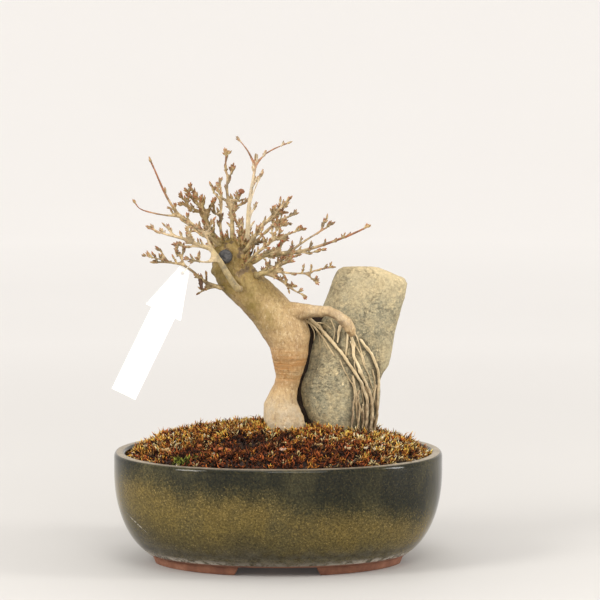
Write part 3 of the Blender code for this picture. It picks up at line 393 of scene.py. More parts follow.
def glaze_foot(s, body, x, z):
    """A dark band, partly glaze and partly painted reflection, over a veil of deposit and a thin crust of
    it: the colour, and the crust's share.
    """
    foot = s.share(z, GLAZE_END, 28 * MM)
    # The dark band low on the belly is partly glaze and partly painted reflection.
    band = s.mix(s.ramp(foot, (0.3, 0.0), (0.42, 0.55), (0.6, 0.0)), body, (0.022, 0.02, 0.012))
    low = s.ramp(foot, (0.0, 1.0), (0.4, 0.5), (0.9, 0.0))
    veil = s.times(low, s.grains((120, 6, 0.75), (0.42, 0.0), (0.62, 1.0)))
    veiled = s.mix(s.times(veil, 0.5), band, (0.2, 0.18, 0.135))
    ends = s.ramp(s.math("ABSOLUTE", x), (0.03, 0.35), (0.07, 1.0))
    line = s.times(s.ramp(foot, (0.05, 1.0), (0.1, 0.8), (0.24, 0.0)), ends)
    crust = s.times(line, s.grains((150, 6, 0.75), (0.42, 0.0), (0.56, 1.0)))
    return s.mix(crust, veiled, DEPOSIT), crust


def glaze_scratch(s, x, y, z):
    """Where one slanting scratch at the left of the front has worn the glaze off."""
    along = s.math("SUBTRACT", x, SCRATCH_X)
    across = s.math("SUBTRACT", s.math("SUBTRACT", z, SCRATCH_Z), s.times(along, SCRATCH_SLOPE))
    nearby = s.plus(s.math("ABSOLUTE", across), s.times(s.math("ABSOLUTE", along), 0.06))
    front = s.math("LESS_THAN", y, 0.0)
    broken = s.grains((400, 4), (0.42, 0.0), (0.5, 0.8))
    return s.times(s.times(s.share(nearby, 0.7 * MM, 0.3 * MM), front), broken)


def glaze():
    """Teal-black glaze that breaks to speckled olive down the belly, with a pale rim top that is partly
    worn and partly painted reflection, palest at the pot's two ends.
    """
    s = Shader("pot_glaze", IOR=1.5, Specular_IOR_Level=0.2)
    x, y, z = s.node("SeparateXYZ", {0: s.place})
    footed, crust = glaze_foot(s, glaze_body(s, x, z), x, z)
    scratched = s.mix(glaze_scratch(s, x, y, z), footed, (0.5, 0.46, 0.38))
    edge = s.share(z, RIM_Z - 0.6 * MM, RIM_Z)
    worn = s.times(edge, s.grains((75, 6, 0.7), (0.3, 0.7), (0.65, 1.0)))
    pale = s.grains((240, 6, 0.7), *RIM_COLOURS)
    # Painted reflection: the rim top is palest at the pot's ends and only half as pale along its front and
    # back.
    ends = s.ramp(s.math("ABSOLUTE", x), (0.07, 0.15), (0.11, 1.0))
    s.colour(s.mix(worn, scratched, s.mix(ends, s.mix(0.5, pale, (0.06, 0.032, 0.018)), pale)))
    gloss = s.grains((90, 5), (0.3, 0.04), (0.7, 0.11))
    matt = s.math("MAXIMUM", crust, s.times(edge, 0.8))
    s.set(s.surface, "Roughness", s.mix(matt, gloss, (0.5, 0.5, 0.5)))
    s.bump(s.plus(s.times(s.noise(150, 3), 0.6), s.times(crust, 0.6)), 0.0002)
    return s.material


def raw_clay():
    """Red stoneware with pale grit in it."""
    s = Shader("raw_clay", Roughness=0.85)
    base = s.grains((70, 6, 0.65), (0.3, (0.12, 0.042, 0.024)), (0.55, (0.23, 0.095, 0.052)),
                    (0.75, (0.33, 0.17, 0.11)))
    grit = s.ramp(s.cells(1400), (0.0, 1.0), (0.12, 0.0))
    s.colour(s.mix(s.times(grit, 0.5), base, (0.42, 0.33, 0.26)))
    s.bump(s.noise(900, 6, 0.7), 0.0003)
    return s.material


def make_pot():
    """The glazed body with its two drain holes, and the four unglazed feet."""
    rings = [oval(inset, z) for inset, z in pot_profile()]
    mesh = lofted("pot_body", rings)
    displace(mesh, lambda p, n: 0.22 * MM * rumple(p, 45 * MM, 3, 2) * step(8 * MM, 20 * MM, p.z))
    for cutter in [drain_cutter(side) for side in ("left", "right")]:
        mesh = modified(mesh, ("BOOLEAN", {"operation": "DIFFERENCE", "solver": "EXACT", "object": cutter}))
        bpy.data.objects.remove(cutter)
    clay = raw_clay()
    body = add_piece("pot_body", mesh, glaze(), ["pot"])
    body.data.materials.append(clay)
    for face in body.data.polygons:
        low = face.center.z < FOOT_HEIGHT + 0.9 * MM
        inside = face.normal.z > 0.3 and face.center.z < RIM_Z - 20 * MM
        face.material_index = int(low or inside)
    for end, side_x in (("left", -1), ("right", 1)):
        for face, side_y in (("front", -1), ("back", 1)):
            node = f"pot_foot_{face}_{end}"
            add_piece(node + "_clay", foot_mesh(side_x, side_y), clay, [node])


def drain_cutter(side):
    """A rod that cuts the hole under one drain screen."""
    low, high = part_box("drain_screen_" + side)
    bm = bmesh.new()
    bmesh.ops.create_cone(
        bm, cap_ends=True, segments=40, radius1=DRAIN_RADIUS, radius2=DRAIN_RADIUS, depth=30 * MM)
    bmesh.ops.translate(bm, vec=((low.x + high.x) / 2, 0, FOOT_HEIGHT + FLOOR / 2), verts=bm.verts[:])
    obj = bpy.data.objects.new("drain", to_mesh(bm, "drain"))
    bpy.context.scene.collection.objects.link(obj)
    return obj


def foot_mesh(side_x, side_y):
    """One foot: a curved bar with sloped sides and worn edges, which runs up into the pot's base."""
    base = belly_inset(FOOT_HEIGHT) + FOOT_SETBACK
    half_x, half_y = HALF_X - base, HALF_Y - base
    bm = bmesh.new()
    rings = []
    top = FOOT_HEIGHT + 0.5 * MM
    for k in range(21):
        section = []
        for z, slope, width in ((0, 1, FOOT_TAPER), (0, 1, FOOT_WIDTH), (top, 0, FOOT_WIDTH), (top, 0, 0)):
            reach_x, reach_y = half_x - width, half_y - width
            start = math.asin((END_GAP / 2 + slope * GAP_SLOPE) / reach_y)
            end = math.acos((FRONT_GAP / 2 + slope * GAP_SLOPE) / reach_x)
            angle = start + (end - start) * k / 20
            x, y = reach_x * math.cos(angle), reach_y * math.sin(angle)
            section.append(bm.verts.new((side_x * x, side_y * y, z)))
        rings.append(section)
    for low, high in zip(rings, rings[1:]):
        for i in range(4):
            bm.faces.new((low[i], low[(i + 1) % 4], high[(i + 1) % 4], high[i]))
    bm.faces.new(rings[0][::-1])
    bm.faces.new(rings[-1])
    bmesh.ops.recalc_face_normals(bm, faces=bm.faces[:])
    mesh = modified(
        to_mesh(bm, "foot"),
        ("BEVEL", {"width": 0.8 * MM, "segments": 3, "limit_method": "ANGLE", "angle_limit": 0.7}),
    )
    mesh.set_sharp_from_angle(angle=math.radians(50))
    return mesh


# ---------------------------------------------------------------- stone


TREE_GAP = 0.4 * MM  # kept between the trunk and the stone where either swells


def stone():
    """Grey-green river stone with buff blotches, grit, pits and fine cracks, a warm painted highlight along
    its top edge, and painted shade from its shade attribute.
    """
    s = Shader("river_stone", Roughness=0.78)
    low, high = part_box("rock")
    base = s.ramp(s.noise(34, 7, 0.66, distortion=0.6), (0.34, (0.16, 0.165, 0.115)),
                  (0.5, (0.27, 0.255, 0.17)), (0.64, (0.39, 0.335, 0.205)))
    blotched = s.mix(s.grains((95, 6, 0.7), (0.44, 0.0), (0.6, 0.8)), base, (0.42, 0.35, 0.2))
    grit = s.grains((480, 6, 0.8), (0.4, (0.05, 0.045, 0.027)), (0.49, (0.31, 0.28, 0.19)),
                    (0.62, (0.66, 0.56, 0.36)))
    gritty = s.mix(0.4, blotched, grit)
    cells = s.ramp(s.cells(420, (1, 1, 0.6)), (0.1, 0.75), (0.22, 0.0))
    pits = s.times(cells, s.grains((60, 4), (0.45, 0.0), (0.6, 1.0)))
    pitted = s.mix(pits, gritty, (0.09, 0.08, 0.05))
    scars = s.grains((26, 6, 0.6, (1, 1, 0.5), 3.0), (0.475, 0.0), (0.5, 0.5), (0.52, 0.0))
    scarred = s.mix(scars, pitted, (0.12, 0.11, 0.075))
    lines = s.grains((60, 6, 0.75, (0.7, 0.7, 1.6), 1.5), (0.492, 0.0), (0.502, 0.85), (0.512, 0.0))
    cracks = s.times(lines, s.grains((38, 4), (0.5, 0.0), (0.58, 1.0)))
    cracked = s.mix(cracks, scarred, (0.06, 0.05, 0.03))
    flecked = s.mix(s.grains((260, 5, 0.8), (0.6, 0.0), (0.66, 0.8)), cracked, (0.72, 0.6, 0.36))
    # Painted highlight: the stone's top edge is lighter and warmer.
    top = s.ramp(s.share(s.height(), low.z, high.z), (0.8, 0.0), (0.96, 0.4), (1.0, 0.85))
    bleached = s.times(top, s.grains((45, 4), (0.3, 0.4), (0.6, 1.0)))
    warm = s.mix(bleached, flecked, (0.66, 0.53, 0.31))
    # The shade attribute darkens it with painted shade in the crevice and beside the roots, and a little
    # low down.
    s.colour(s.tinted(s.tinted(warm, (1.1, 1.06, 1.0)), s.attribute("shade")))
    rough = s.plus(s.noise(300, 6, 0.8), s.times(s.noise(70, 5), 1.2))
    s.bump(s.math("SUBTRACT", rough, s.times(cracks, 0.5)), 0.0015)
    return s.material


def stone_relief(p, n):
    """Broad swells, upright folds and grain."""
    broad = 0.7 * rumple(p, 26 * MM, 1, 3)
    folds = 0.35 * rumple(Vector((p.x, p.y, p.z * 0.4)), 9 * MM, 4, 3)
    grain = 0.16 * rumple(p, 2.6 * MM, 7, 3)
    return (broad + folds + grain) * MM


def make_rock(trunk_tree, root_tree):
    """The stone, fuller towards the trunk low down, with painted shade in the crevice by the trunk and
    beside the roots, and a little darker low down.
    """
    mesh = remeshed("rock", 0.85 * MM, 16)
    displace(mesh, stone_relief)
    shade = []
    facing = [v.normal.x for v in mesh.vertices]
    for v, across in zip(mesh.vertices, facing):
        height = over_rim(v.co)
        if across < 0:
            near = trunk_tree.find_nearest(v.co)[3]
            bulge = (2.4 * (1 - step(50, 64, height)) + 1.8 * (1 - step(12, 32, height))) * MM
            v.co.x -= min(bulge * -across, max(0.0, near - TREE_GAP))
        v.co.z -= 3.2 * MM * step(126, 140, height) * step(68, 96, v.co.x / MM)
        # Painted shade: darker in the crevice by the trunk and beside the roots, and a little darker low
        # down near the moss.
        crevice = 1 - step(0.8 * MM, 4.5 * MM, trunk_tree.find_nearest(v.co)[3])
        low_down = 1 - step(14, 34, over_rim(v.co))
        beside = 1 - step(0.4 * MM, 3.4 * MM, root_tree.find_nearest(v.co)[3])
        dark = max(0.92 * crevice, 0.15 * low_down, 0.72 * beside)
        shade.append((1 - dark, 1 - dark * 1.02, 1 - dark * 1.05))
    paint(mesh, "shade", np.clip(shade, 0.03, 1))
    return add_piece("stone", mesh, stone(), ["rock"])


# ---------------------------------------------------------------- trunk and roots


def bark():
    """Tan maple bark: pores and flakes, algae up the trunk, rust at the waist, and a bleached base."""
    s = Shader("maple_bark", Roughness=0.52)
    split = s.node("SeparateColor", {0: s.attribute("tone")})
    base = s.grains((55, 7, 0.6), (0.3, (0.34, 0.215, 0.09)), (0.5, (0.46, 0.31, 0.14)),
                    (0.75, (0.56, 0.4, 0.2)))
    fibre = s.grains((430, 6, 0.8, (1, 1, 0.6)), (0.4, 0.7), (0.52, 0.0))
    light = s.grains((560, 6, 0.8, (1, 1, 0.6)), (0.52, 0.0), (0.62, 0.5))
    flecked = s.mix(light, s.mix(fibre, base, (0.2, 0.11, 0.04)), (0.78, 0.63, 0.4))
    pores = s.ramp(s.cells(800, (1, 1, 1.8)), (0.05, 0.8), (0.18, 0.0))
    pored = s.mix(s.times(pores, 0.5), flecked, (0.7, 0.56, 0.35))
    patches = s.grains((85, 6, 0.7), (0.34, 0.1), (0.62, 1.0))
    green = s.mix(s.times(split["Red"], patches), pored, (0.24, 0.165, 0.03))
    lines = s.grains((120, 5, 0.7, (0.35, 0.35, 3.2)), (0.38, 0.15), (0.6, 1.0))
    rust = s.mix(s.times(split["Green"], lines), green, (0.4, 0.185, 0.045))
    bleach = s.grains((75, 6, 0.7), (0.34, 0.1), (0.6, 0.9))
    pale = s.mix(s.times(split["Blue"], bleach), rust, (0.5, 0.42, 0.3))
    # The shade attribute adds painted shade in the crevice by the stone and under overhangs, and darkens
    # the foot and head.
    s.colour(s.tinted(pale, s.attribute("shade")))
    height = s.plus(s.noise(380, 6, 0.75, (1, 1, 0.5)), s.times(pores, -0.3))
    ridges = s.times(s.times(split["Green"], s.noise(110, 4, 0.6, (0.25, 0.25, 4.0))), 1.4)
    s.bump(s.plus(height, ridges), 0.0014)
    return s.material


def trunk_relief(p, n):
    """Swellings, fine fissures, a lightly ringed waist and the knobs of old prunings on the head."""
    height = over_rim(p)
    broad = 0.45 * rumple(p, 15 * MM, 11, 3)
    fissures = 0.2 * rumple(Vector((p.x, p.y, p.z * 0.45)), 3.2 * MM, 5, 4)
    waist = math.exp(-(((height - 66) / 11) ** 2))
    wavy = math.sin(height * 2.3 + 2.6 * rumple(p, 9 * MM, 9, 2))
    rings = 0.16 * waist * wavy * (0.6 + rumple(p, 14 * MM, 3, 1))
    head = step(122, 138, height) * step(12, 2, p.x / MM)
    knobs = head * (2.2 * max(0.0, rumple(p, 8 * MM, 13, 2)) + 0.6 * rumple(p, 3 * MM, 17, 2))
    base = (1 - step(20, 40, height)) * 1.3 * rumple(p, 9 * MM, 23, 3)
    knuckles = step(22, 34, p.x / MM) * rumple(p, 8 * MM, 29, 3)
    return (broad + fissures + rings + knobs + base + knuckles) * MM


def bark_tones(mesh, rock_tree):
    """Red is algae, green is rust and blue is bleaching; apart from these, a shade attribute with painted
    shade in the crevice by the stone and on downward faces, and a darker foot, dark scars and a darker,
    yellower head.
    """
    tones, shades = [], []
    for v in mesh.vertices:
        height = over_rim(v.co)
        left = step(-0.3, 0.6, -v.normal.x * 0.8 + v.normal.z * 0.1 - v.normal.y * 0.2)
        algae = step(78, 112, height) * (0.3 + 0.7 * left) * step(16, -4, v.co.x / MM)
        rust = math.exp(-(((height - 66) / 14) ** 2)) * 0.9
        pale = max(1 - step(26, 50, height), 0.4 * step(12, 32, v.co.x / MM) * step(90, 100, height))
        tones.append((algae, rust, pale))
        # Painted shade: darker in the crevice against the stone and on faces that look down.
        near = rock_tree.find_nearest(v.co)[3]
        crevice = (1 - step(0.3 * MM, 3.0 * MM, near)) * 0.85
        foot = (1 - step(15, 24, height + 4 * rumple(v.co, 8 * MM, 2, 2))) * 0.6
        head = step(120, 140, height) * step(14, 0, v.co.x / MM)
        scars = step(0.16, 0.4, rumple(v.co, 7 * MM, 41, 3)) * head
        under = step(0.1, -0.9, v.normal.z) * 0.3
        top = step(100, 136, height) * step(14, -2, v.co.x / MM) * 0.36
        dark = max(crevice, foot, scars * 0.7, under, top)
        shades.append((1 - dark, 1 - dark * 1.05, 1 - dark * (1.7 if dark == top else 1.1)))
    paint(mesh, "tone", tones)
    paint(mesh, "shade", np.clip(shades, 0.03, 1))


def make_trunk(rock_tree):
    """The trunk's bark, fuller under the armpit on its right."""
    mesh = remeshed("trunk", 0.75 * MM, 10)
    displace(mesh, trunk_relief)
    facing = [v.normal.x for v in mesh.vertices]
    for v, across in zip(mesh.vertices, facing):
        near = rock_tree.find_nearest(v.co)[3]
        swell = 3.4 * MM * math.exp(-(((over_rim(v.co) - 95) / 11) ** 2)) * max(0.0, across)
        v.co.x += min(swell * step(34, 26, v.co.x / MM), max(0.0, near - TREE_GAP))
    bark_tones(mesh, rock_tree)
    return add_piece("trunk_bark", mesh, bark(), ["trunk"])


def root_bark():
    """Pale fibrous root bark, soiled towards the moss."""
    s = Shader("root_bark", Roughness=0.7)
    base = s.grains((120, 6, 0.65, (1, 1, 0.4)), (0.3, (0.4, 0.29, 0.15)), (0.55, (0.62, 0.49, 0.29)),
                    (0.75, (0.78, 0.66, 0.44)))
    up = s.share(s.height(), RIM_Z + 12 * MM, RIM_Z + 74 * MM)
    low = s.ramp(up, (0.0, 0.95), (0.5, 0.55), (1.0, 0.0))
    soil = s.times(low, s.grains((240, 5), (0.35, 0.3), (0.6, 1.0)))
    s.colour(s.mix(soil, base, (0.1, 0.05, 0.022)))
    s.bump(s.noise(600, 5, 0.7, (1, 1, 0.4)), 0.0004)
    return s.material


def make_roots(trunk_tree):
    """The main roots on the stone, whose tops run on into the arm root."""
    material = root_bark()
    for node in sorted(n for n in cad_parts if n.startswith("root_")):
        bm = quads_of(node)
        top = max(v.co.z for v in bm.verts)
        for vert in bm.verts:
            if vert.co.z > top - 2.2 * MM and node != "root_fine_left":
                near, _, _, distance = trunk_tree.find_nearest(vert.co)
                if distance < 9 * MM:
                    vert.co += (near - vert.co).normalized() * (distance + 1.5 * MM)
        mesh = subdivided(bm, node, 3)
        for v in mesh.vertices:
            v.co.x += 0.9 * MM * rumple(Vector((0, 0, v.co.z)), 9 * MM, top * 900, 2)
        displace(mesh, lambda p, n: 0.4 * MM * rumple(p, 4 * MM, 6, 3))
        add_piece(node + "_bark", mesh, material, [node])


# More of the fine roots on the stone: points (x, height over the rim) in mm, then the radius in mm.
STRANDS = (
    (((52.7, 90.2), (52.5, 80.5), (50.8, 69.5)), 0.7),
    (((62, 46.6), (59.1, 39), (60.2, 26), (60.5, 10)), 0.75),
    (((74.4, 50), (72.6, 40), (70.7, 28), (71.5, 10)), 0.95),
    (((56.4, 58), (58, 48), (60.6, 38), (63.6, 28), (64.4, 10)), 0.85),
    (((66, 50), (68.4, 40), (66.5, 30), (68, 20), (67, 10)), 0.85),
    (((70, 36), (72.4, 26), (73.4, 10)), 0.8),
    (((64, 32), (66.6, 22), (66, 10)), 0.6),
    (((57.4, 84), (62.4, 74), (66, 64), (70, 54), (73, 44)), 0.5),
    (((20, 104), (25, 100), (29, 97), (33, 93)), 1.35),
    (((19, 101), (25, 97), (31, 90), (37, 82), (43, 73)), 0.8),
    (((21, 103), (28, 98.5), (35, 96.5), (40, 93)), 0.45),
    (((23, 100), (27.5, 91), (27.2, 83)), 0.4),
    (((25, 99), (33, 91), (35, 83), (38, 77)), 0.42),
    (((24, 99), (30.8, 89), (31.5, 78)), 0.36),
    (((30, 98), (36, 89), (41, 85), (44, 78)), 0.4),
    (((40, 100), (43, 92), (42, 84)), 0.38),
    (((58, 90), (61, 84), (63.5, 76), (66, 66)), 0.55),
    (((55, 84), (57.5, 74), (58.5, 64), (62, 54), (64, 44), (66.5, 30)), 0.55),
    (((47, 70), (51.5, 60), (57, 50), (61.5, 40)), 0.45),
    (((72, 62), (73.8, 52), (73.4, 42), (75, 30), (74.5, 10)), 0.5),
)
ARMPIT_DEPTH = -3 * MM  # y of the strands that hang under the arm root, in front of the dark fill that stands for the crevice's shadow


def curve_through(points, spacing):
    """Points about spacing apart on a Catmull-Rom curve through the given ones."""
    ends = [points[0] * 2 - points[1], *points, points[-1] * 2 - points[-2]]
    path = [points[0]]
    for a, b, c, d in zip(ends, ends[1:], ends[2:], ends[3:]):
        steps = max(1, round((c - b).length / spacing))
        for k in range(1, steps + 1):
            t = k / steps
            bend = (2 * a - 5 * b + 4 * c - d) * t**2 + (3 * b - a - 3 * c + d) * t**3
            path.append(0.5 * (2 * b + (c - a) * t + bend))
    return path


def settle_depths(path):
    """Where a strand leaves the stone it keeps the depth of its nearest point on it, and bends smoothly."""
    if all(math.isinf(p.y) for p in path):
        raise ValueError("a strand misses the stone")
    for order in (path, path[::-1]):
        last = math.inf
        for point in order:
            if math.isinf(point.y):
                point.y = last
            last = point.y
    for _ in range(3):
        depths = [p.y for p in path]
        for i, point in enumerate(path):
            around = (depths[max(i - 1, 0)] + depths[i] + depths[min(i + 1, len(path) - 1)]) / 3
            point.y = min(depths[i], around)


def make_strands(stone_piece):
    """Thin roots that cling to the stone, each with its own wobble and taper."""
    tree = BVHTree.FromObject(stone_piece, bpy.context.evaluated_depsgraph_get())
    twigs = Twigs(random.Random(5))
    for number, (course, thick) in enumerate(STRANDS):
        course = curve_through([Vector((x, 0, h)) * MM for x, h in course], 1.6 * MM)
        path, radii = [], []
        for i, at in enumerate(course):
            wobble = rumple(at + Vector((0, number * 0.02, 0)), 9 * MM, 3, 2) * 0.8 * MM
            start = Vector((at.x + wobble, -80 * MM, RIM_Z + at.z))
            hit = tree.ray_cast(start, Vector((0, 1, 0)))[0]
            depth = hit.y if hit else math.inf
            if at.x < 30 * MM and at.z > 85 * MM:
                depth = ARMPIT_DEPTH
            path.append(Vector((start.x, depth, start.z)))
            taper = 1.1 - 0.35 * i / (len(course) - 1)
            radii.append(thick * MM * taper * (1 + 0.2 * rumple(at, 3 * MM, number, 2)))
        settle_depths(path)
        for point in path:
            point.y -= thick * 0.6 * MM
        twigs.tube(path, radii, [(0, 0, 0)] * len(path), 8)
    add_piece("root_strands", mesh_from("root_strands", twigs.verts, twigs.faces), root_bark())


def make_crevice_shadow_fill(trunk_tree, rock_tree):
    """A near-black, peat-like fill packed between the trunk and the stone, set back from their front:
    painted shadow deep in the crevice.
    """
    leftwards = Vector((-1, 0, 0))
    rings = []
    for height in range(4, 104, 2):
        z = RIM_Z + height * MM
        stone_edge = rock_tree.ray_cast(Vector((56 * MM, 8 * MM, z)), leftwards)[0]
        wood = trunk_tree.ray_cast(Vector((50 * MM, -2 * MM, z)), leftwards)[0]
        left, right = wood.x - 3 * MM, stone_edge.x + 2.5 * MM
        ring = []
        for i in range(20):
            a = math.tau * i / 20
            x = (left + right) / 2 + (right - left) / 2 * math.cos(a)
            p = Vector((x, (6 + 5 * math.sin(a)) * MM, z))
            ring.append(p + Vector((0, 1, 0)) * rumple(p, 5 * MM, 3, 3) * 1.5 * MM)
        rings.append(ring)
    s = Shader("crevice_shadow_fill", Roughness=1.0)
    # Near-black: painted shadow in the crevice.
    s.colour(s.grains((500, 6, 0.7), (0.35, (0.005, 0.003, 0.002)), (0.7, (0.04, 0.021, 0.01))))
    s.bump(s.noise(700, 6, 0.7), 0.001)
    add_piece("crevice_shadow_fill", lofted("crevice_shadow_fill", rings), s.material)


# ---------------------------------------------------------------- branches


def twig_bark():
    """Grey-tan young bark with pale pores, darker where it is old and, as painted shade, near the crown's
    middle; red-brown where it is bud; patched with grime and painted shadow.
    """
    s = Shader("twig_bark", Roughness=0.62)
    split = s.node("SeparateColor", {0: s.attribute("tone")})
    base = s.grains((240, 6, 0.7), (0.34, (0.11, 0.066, 0.024)), (0.5, (0.31, 0.21, 0.095)),
                    (0.68, (0.58, 0.45, 0.26)))
    old = s.grains((190, 6, 0.7), (0.36, (0.1, 0.075, 0.022)), (0.6, (0.34, 0.25, 0.09)))
    pores = s.ramp(s.cells(1500), (0.06, 0.7), (0.16, 0.0))
    pored = s.mix(pores, s.mix(split["Green"], base, old), (0.6, 0.5, 0.35))
    bud = s.grains((700, 4), (0.3, (0.1, 0.024, 0.008)), (0.55, (0.26, 0.075, 0.022)),
                   (0.75, (0.42, 0.17, 0.06)))
    budded = s.mix(split["Red"], pored, bud)
    # Darker and lighter patches: partly grime, partly painted shadow among the twigs.
    grime_and_shadow = s.grains((150, 5, 0.7), (0.38, (0.52, 0.48, 0.4)), (0.55, (1.2, 1.2, 1.18)))
    s.colour(s.mix(s.times(split["Blue"], 0.75), s.tinted(budded, grime_and_shadow), (0.72, 0.62, 0.46)))
    s.bump(s.noise(900, 5, 0.7), 0.00022)
    return s.material


def random_side(along, rng):
    """A random direction at right angles to this one."""
    side = along.orthogonal().normalized()
    side.rotate(Matrix.Rotation(rng.uniform(0, math.tau), 3, along))
    return side


class Twigs:
    """Gathers spurs and buds as rings of points, to join to a branch's own mesh."""

    def __init__(self, rng):
        self.rng = rng
        self.verts, self.faces, self.tones = [], [], []

    def tube(self, path, radii, tones, sides=8):
        """A tube along the path, capped at both ends."""
        start = len(self.verts)
        across = None
        for i, point in enumerate(path):
            along = (path[min(i + 1, len(path) - 1)] - path[max(i - 1, 0)]).normalized()
            if across is None:
                across = along.orthogonal().normalized()
            across = (across - along * across.dot(along)).normalized()
            other = along.cross(across)
            for k in range(sides):
                a = math.tau * k / sides
                self.verts.append(point + (across * math.cos(a) + other * math.sin(a)) * radii[i])
                self.tones.append(tones[i])
        for r in range(len(path) - 1):
            for k in range(sides):
                a, b = start + r * sides + k, start + r * sides + (k + 1) % sides
                self.faces.append((a, b, b + sides, a + sides))
        self.faces.append(tuple(range(start, start + sides))[::-1])
        self.faces.append(tuple(range(len(self.verts) - sides, len(self.verts))))

    def random_bend(self):
        return Vector([self.rng.uniform(-1, 1) for _ in range(3)])

    def bud(self, at, along, length, pale=0.0):
        """A pointed bud: a collar, then overlapping scales that narrow to the tip."""
        width = length * self.rng.uniform(0.19, 0.24)
        bend = self.random_bend() * length * 0.1
        shares = (0, 0.1, 0.22, 0.34, 0.42, 0.5, 0.62, 0.7, 0.82, 0.93, 1.0)
        widths = (0.85, 0.95, 1.0, 0.93, 0.97, 0.86, 0.68, 0.7, 0.44, 0.2, 0.03)
        red = self.rng.uniform(0.3, 1.0)
        path = [at + along * length * f + bend * f * f for f in shares]
        tones = [(red * max(0, min(1, 1.9 * f - 0.3)), 0.6, pale * (1 - f)) for f in shares]
        self.tube(path, [width * w for w in widths], tones)

    def bud_cluster(self, at, along, length, pale=0.0):
        """An end bud, and up to two side buds pressed close to it."""
        self.bud(at, along, length, pale)
        side = random_side(along, self.rng)
        for sign in (1, -1):
            if self.rng.random() < 0.5:
                lean = (along + side * sign * self.rng.uniform(0.25, 0.55)).normalized()
                size = length * self.rng.uniform(0.6, 0.9)
                self.bud(at + side * sign * length * 0.1, lean, size, pale)

    def spur(self, at, along, length, thick, pale=0.0):
        """A short side shoot with a swollen node or two, which ends in buds."""
        bend = self.random_bend() * 0.3
        steps = max(3, round(length / (1.0 * MM)))
        path, radii, tones = [], [], []
        point, heading = at - along * 0.8 * MM, along
        for k in range(steps + 1):
            path.append(point)
            node = 1.25 if k % 3 == 2 else 1.0
            radii.append(thick * node * (1.25 - 0.35 * k / steps))
            tones.append((0.0, self.rng.uniform(0.2, 0.9), pale))
            heading = (heading + bend / steps + Vector((0, 0, 0.1))).normalized()
            point = point + heading * length / steps
        self.tube(path, radii, tones, 7)
        self.bud_cluster(path[-1] - heading * 0.3 * MM, heading, self.rng.uniform(3.2, 4.6) * MM, pale)
        if length > 3.4 * MM:
            side = random_side(heading, self.rng)
            for sign in (1, -1):
                lean = (heading * 0.8 + side * sign).normalized()
                self.bud(path[steps // 2], lean, self.rng.uniform(2.2, 3.4) * MM, pale)

    def mesh(self, name):
        mesh = mesh_from(name, self.verts, self.faces)
        paint(mesh, "tone", self.tones)
        return mesh


SPUR_SKIN = 260  # mm2 of skin that a branch's first number below is for
SPURS_APART = 2.6 * MM
# For each branch: its number of spurs, their greatest length in mm, and how pale it is.
SPURS = {
    "branch_far_left": (2, 3, 0.1),
    "branch_upright_left": (17, 6, 0.0),
    "branch_upright_back": (9, 5, 0.1),
    "branch_upright_centre": (12, 6, 0.15),
    "branch_tall": (4, 4, 0.75),
    "branch_upper_right": (11, 5, 0.15),
    "branch_back_right": (11, 5, 0.1),
    "branch_right_spray": (12, 5, 0.15),
    "branch_right": (8, 4, 0.2),
    "branch_low_right": (11, 5, 0.1),
    "branch_front_limb": (11, 5, 0.3),
    "branch_low_left": (9, 5, 0.1),
    "branch_back_left": (8, 5, 0.1),
    "branch_back": (8, 5, 0.1),
    "branch_back_low": (8, 5, 0.1),
}


def tips_of(bm):
    """Each sharp tip of a branch's CAD skin, with the direction that it points in."""
    tips = []
    for vert in bm.verts:
        around = sum(loop.calc_angle() for loop in vert.link_loops)
        if around < math.radians(215):
            ring = sum((e.other_vert(vert).co for e in vert.link_edges), Vector()) / len(vert.link_edges)
            tips.append((vert.co.copy(), (vert.co - ring).normalized()))
    return tips


def thickness_at(tree, point, normal):
    """How far the skin on the other side is."""
    hit = tree.ray_cast(point - normal * 0.05 * MM, -normal, 20 * MM)
    return hit[3] or 2 * MM


def skin_lengthwise(face):
    """The direction of a face's longest edge, away from the trunk's head."""
    edge = max(face.edges, key=lambda e: e.calc_length())
    along = (edge.verts[1].co - edge.verts[0].co).normalized()
    return along if along.dot(face.calc_center_median() - HEAD) > 0 else -along


def grow_at_tips(twigs, bm, density, pale):
    """Buds on every tip of the branch, and a few spurs just behind them."""
    rng = twigs.rng
    for tip, along in tips_of(bm):
        twigs.bud_cluster(tip - along * 2.2 * MM, along, rng.uniform(3.4, 4.6) * MM, pale * 0.5)
        for _ in range(round(density / 4.5)):
            back = rng.uniform(2.5, 8.0) * MM
            around = random_side(along, rng)
            lean = (along + around * rng.uniform(0.35, 0.8)).normalized()
            length = rng.uniform(1.2, 3.4) * MM
            twigs.spur(tip - along * back, lean, length, rng.uniform(0.5, 0.7) * MM, pale)


def scattered(bm, density, rng):
    """Random points on the branch's skin, each with its face."""
    spots = []
    for face in bm.faces:
        count = face.calc_area() / MM**2 * density / SPUR_SKIN
        for _ in range(int(count) + (rng.random() < count % 1)):
            weights = [rng.random() for _ in face.verts]
            place = sum((v.co * w for v, w in zip(face.verts, weights)), Vector()) / sum(weights)
            spots.append((place, face))
    return spots


def grow_twigs(node, bm, tree, trunk_tree, rng):
    """Buds on every tip, and spurs scattered over the branch's skin past its bare foot."""
    density, longest, pale = SPURS[node]
    wound = tree_of("wound_seal")
    twigs = Twigs(rng)
    grow_at_tips(twigs, bm, density, pale)
    taken = []
    for spot, face in scattered(bm, density, rng):
        bare = wound.find_nearest(spot)[3] < 16 * MM or trunk_tree.find_nearest(spot)[3] < 9 * MM
        if bare or any((spot - t).length < SPURS_APART for t in taken):
            continue
        taken.append(spot)
        along = skin_lengthwise(face)
        lean = (face.normal * 0.8 + along * 0.95 + Vector((0, 0, 0.3))).normalized()
        thick = min(1.0, 0.42 + 0.11 * thickness_at(tree, spot, face.normal) / MM) * MM
        twigs.spur(spot, lean, rng.uniform(0.35, 1.0) * longest * MM, thick, pale)
    return twigs.mesh(node + "_twigs")


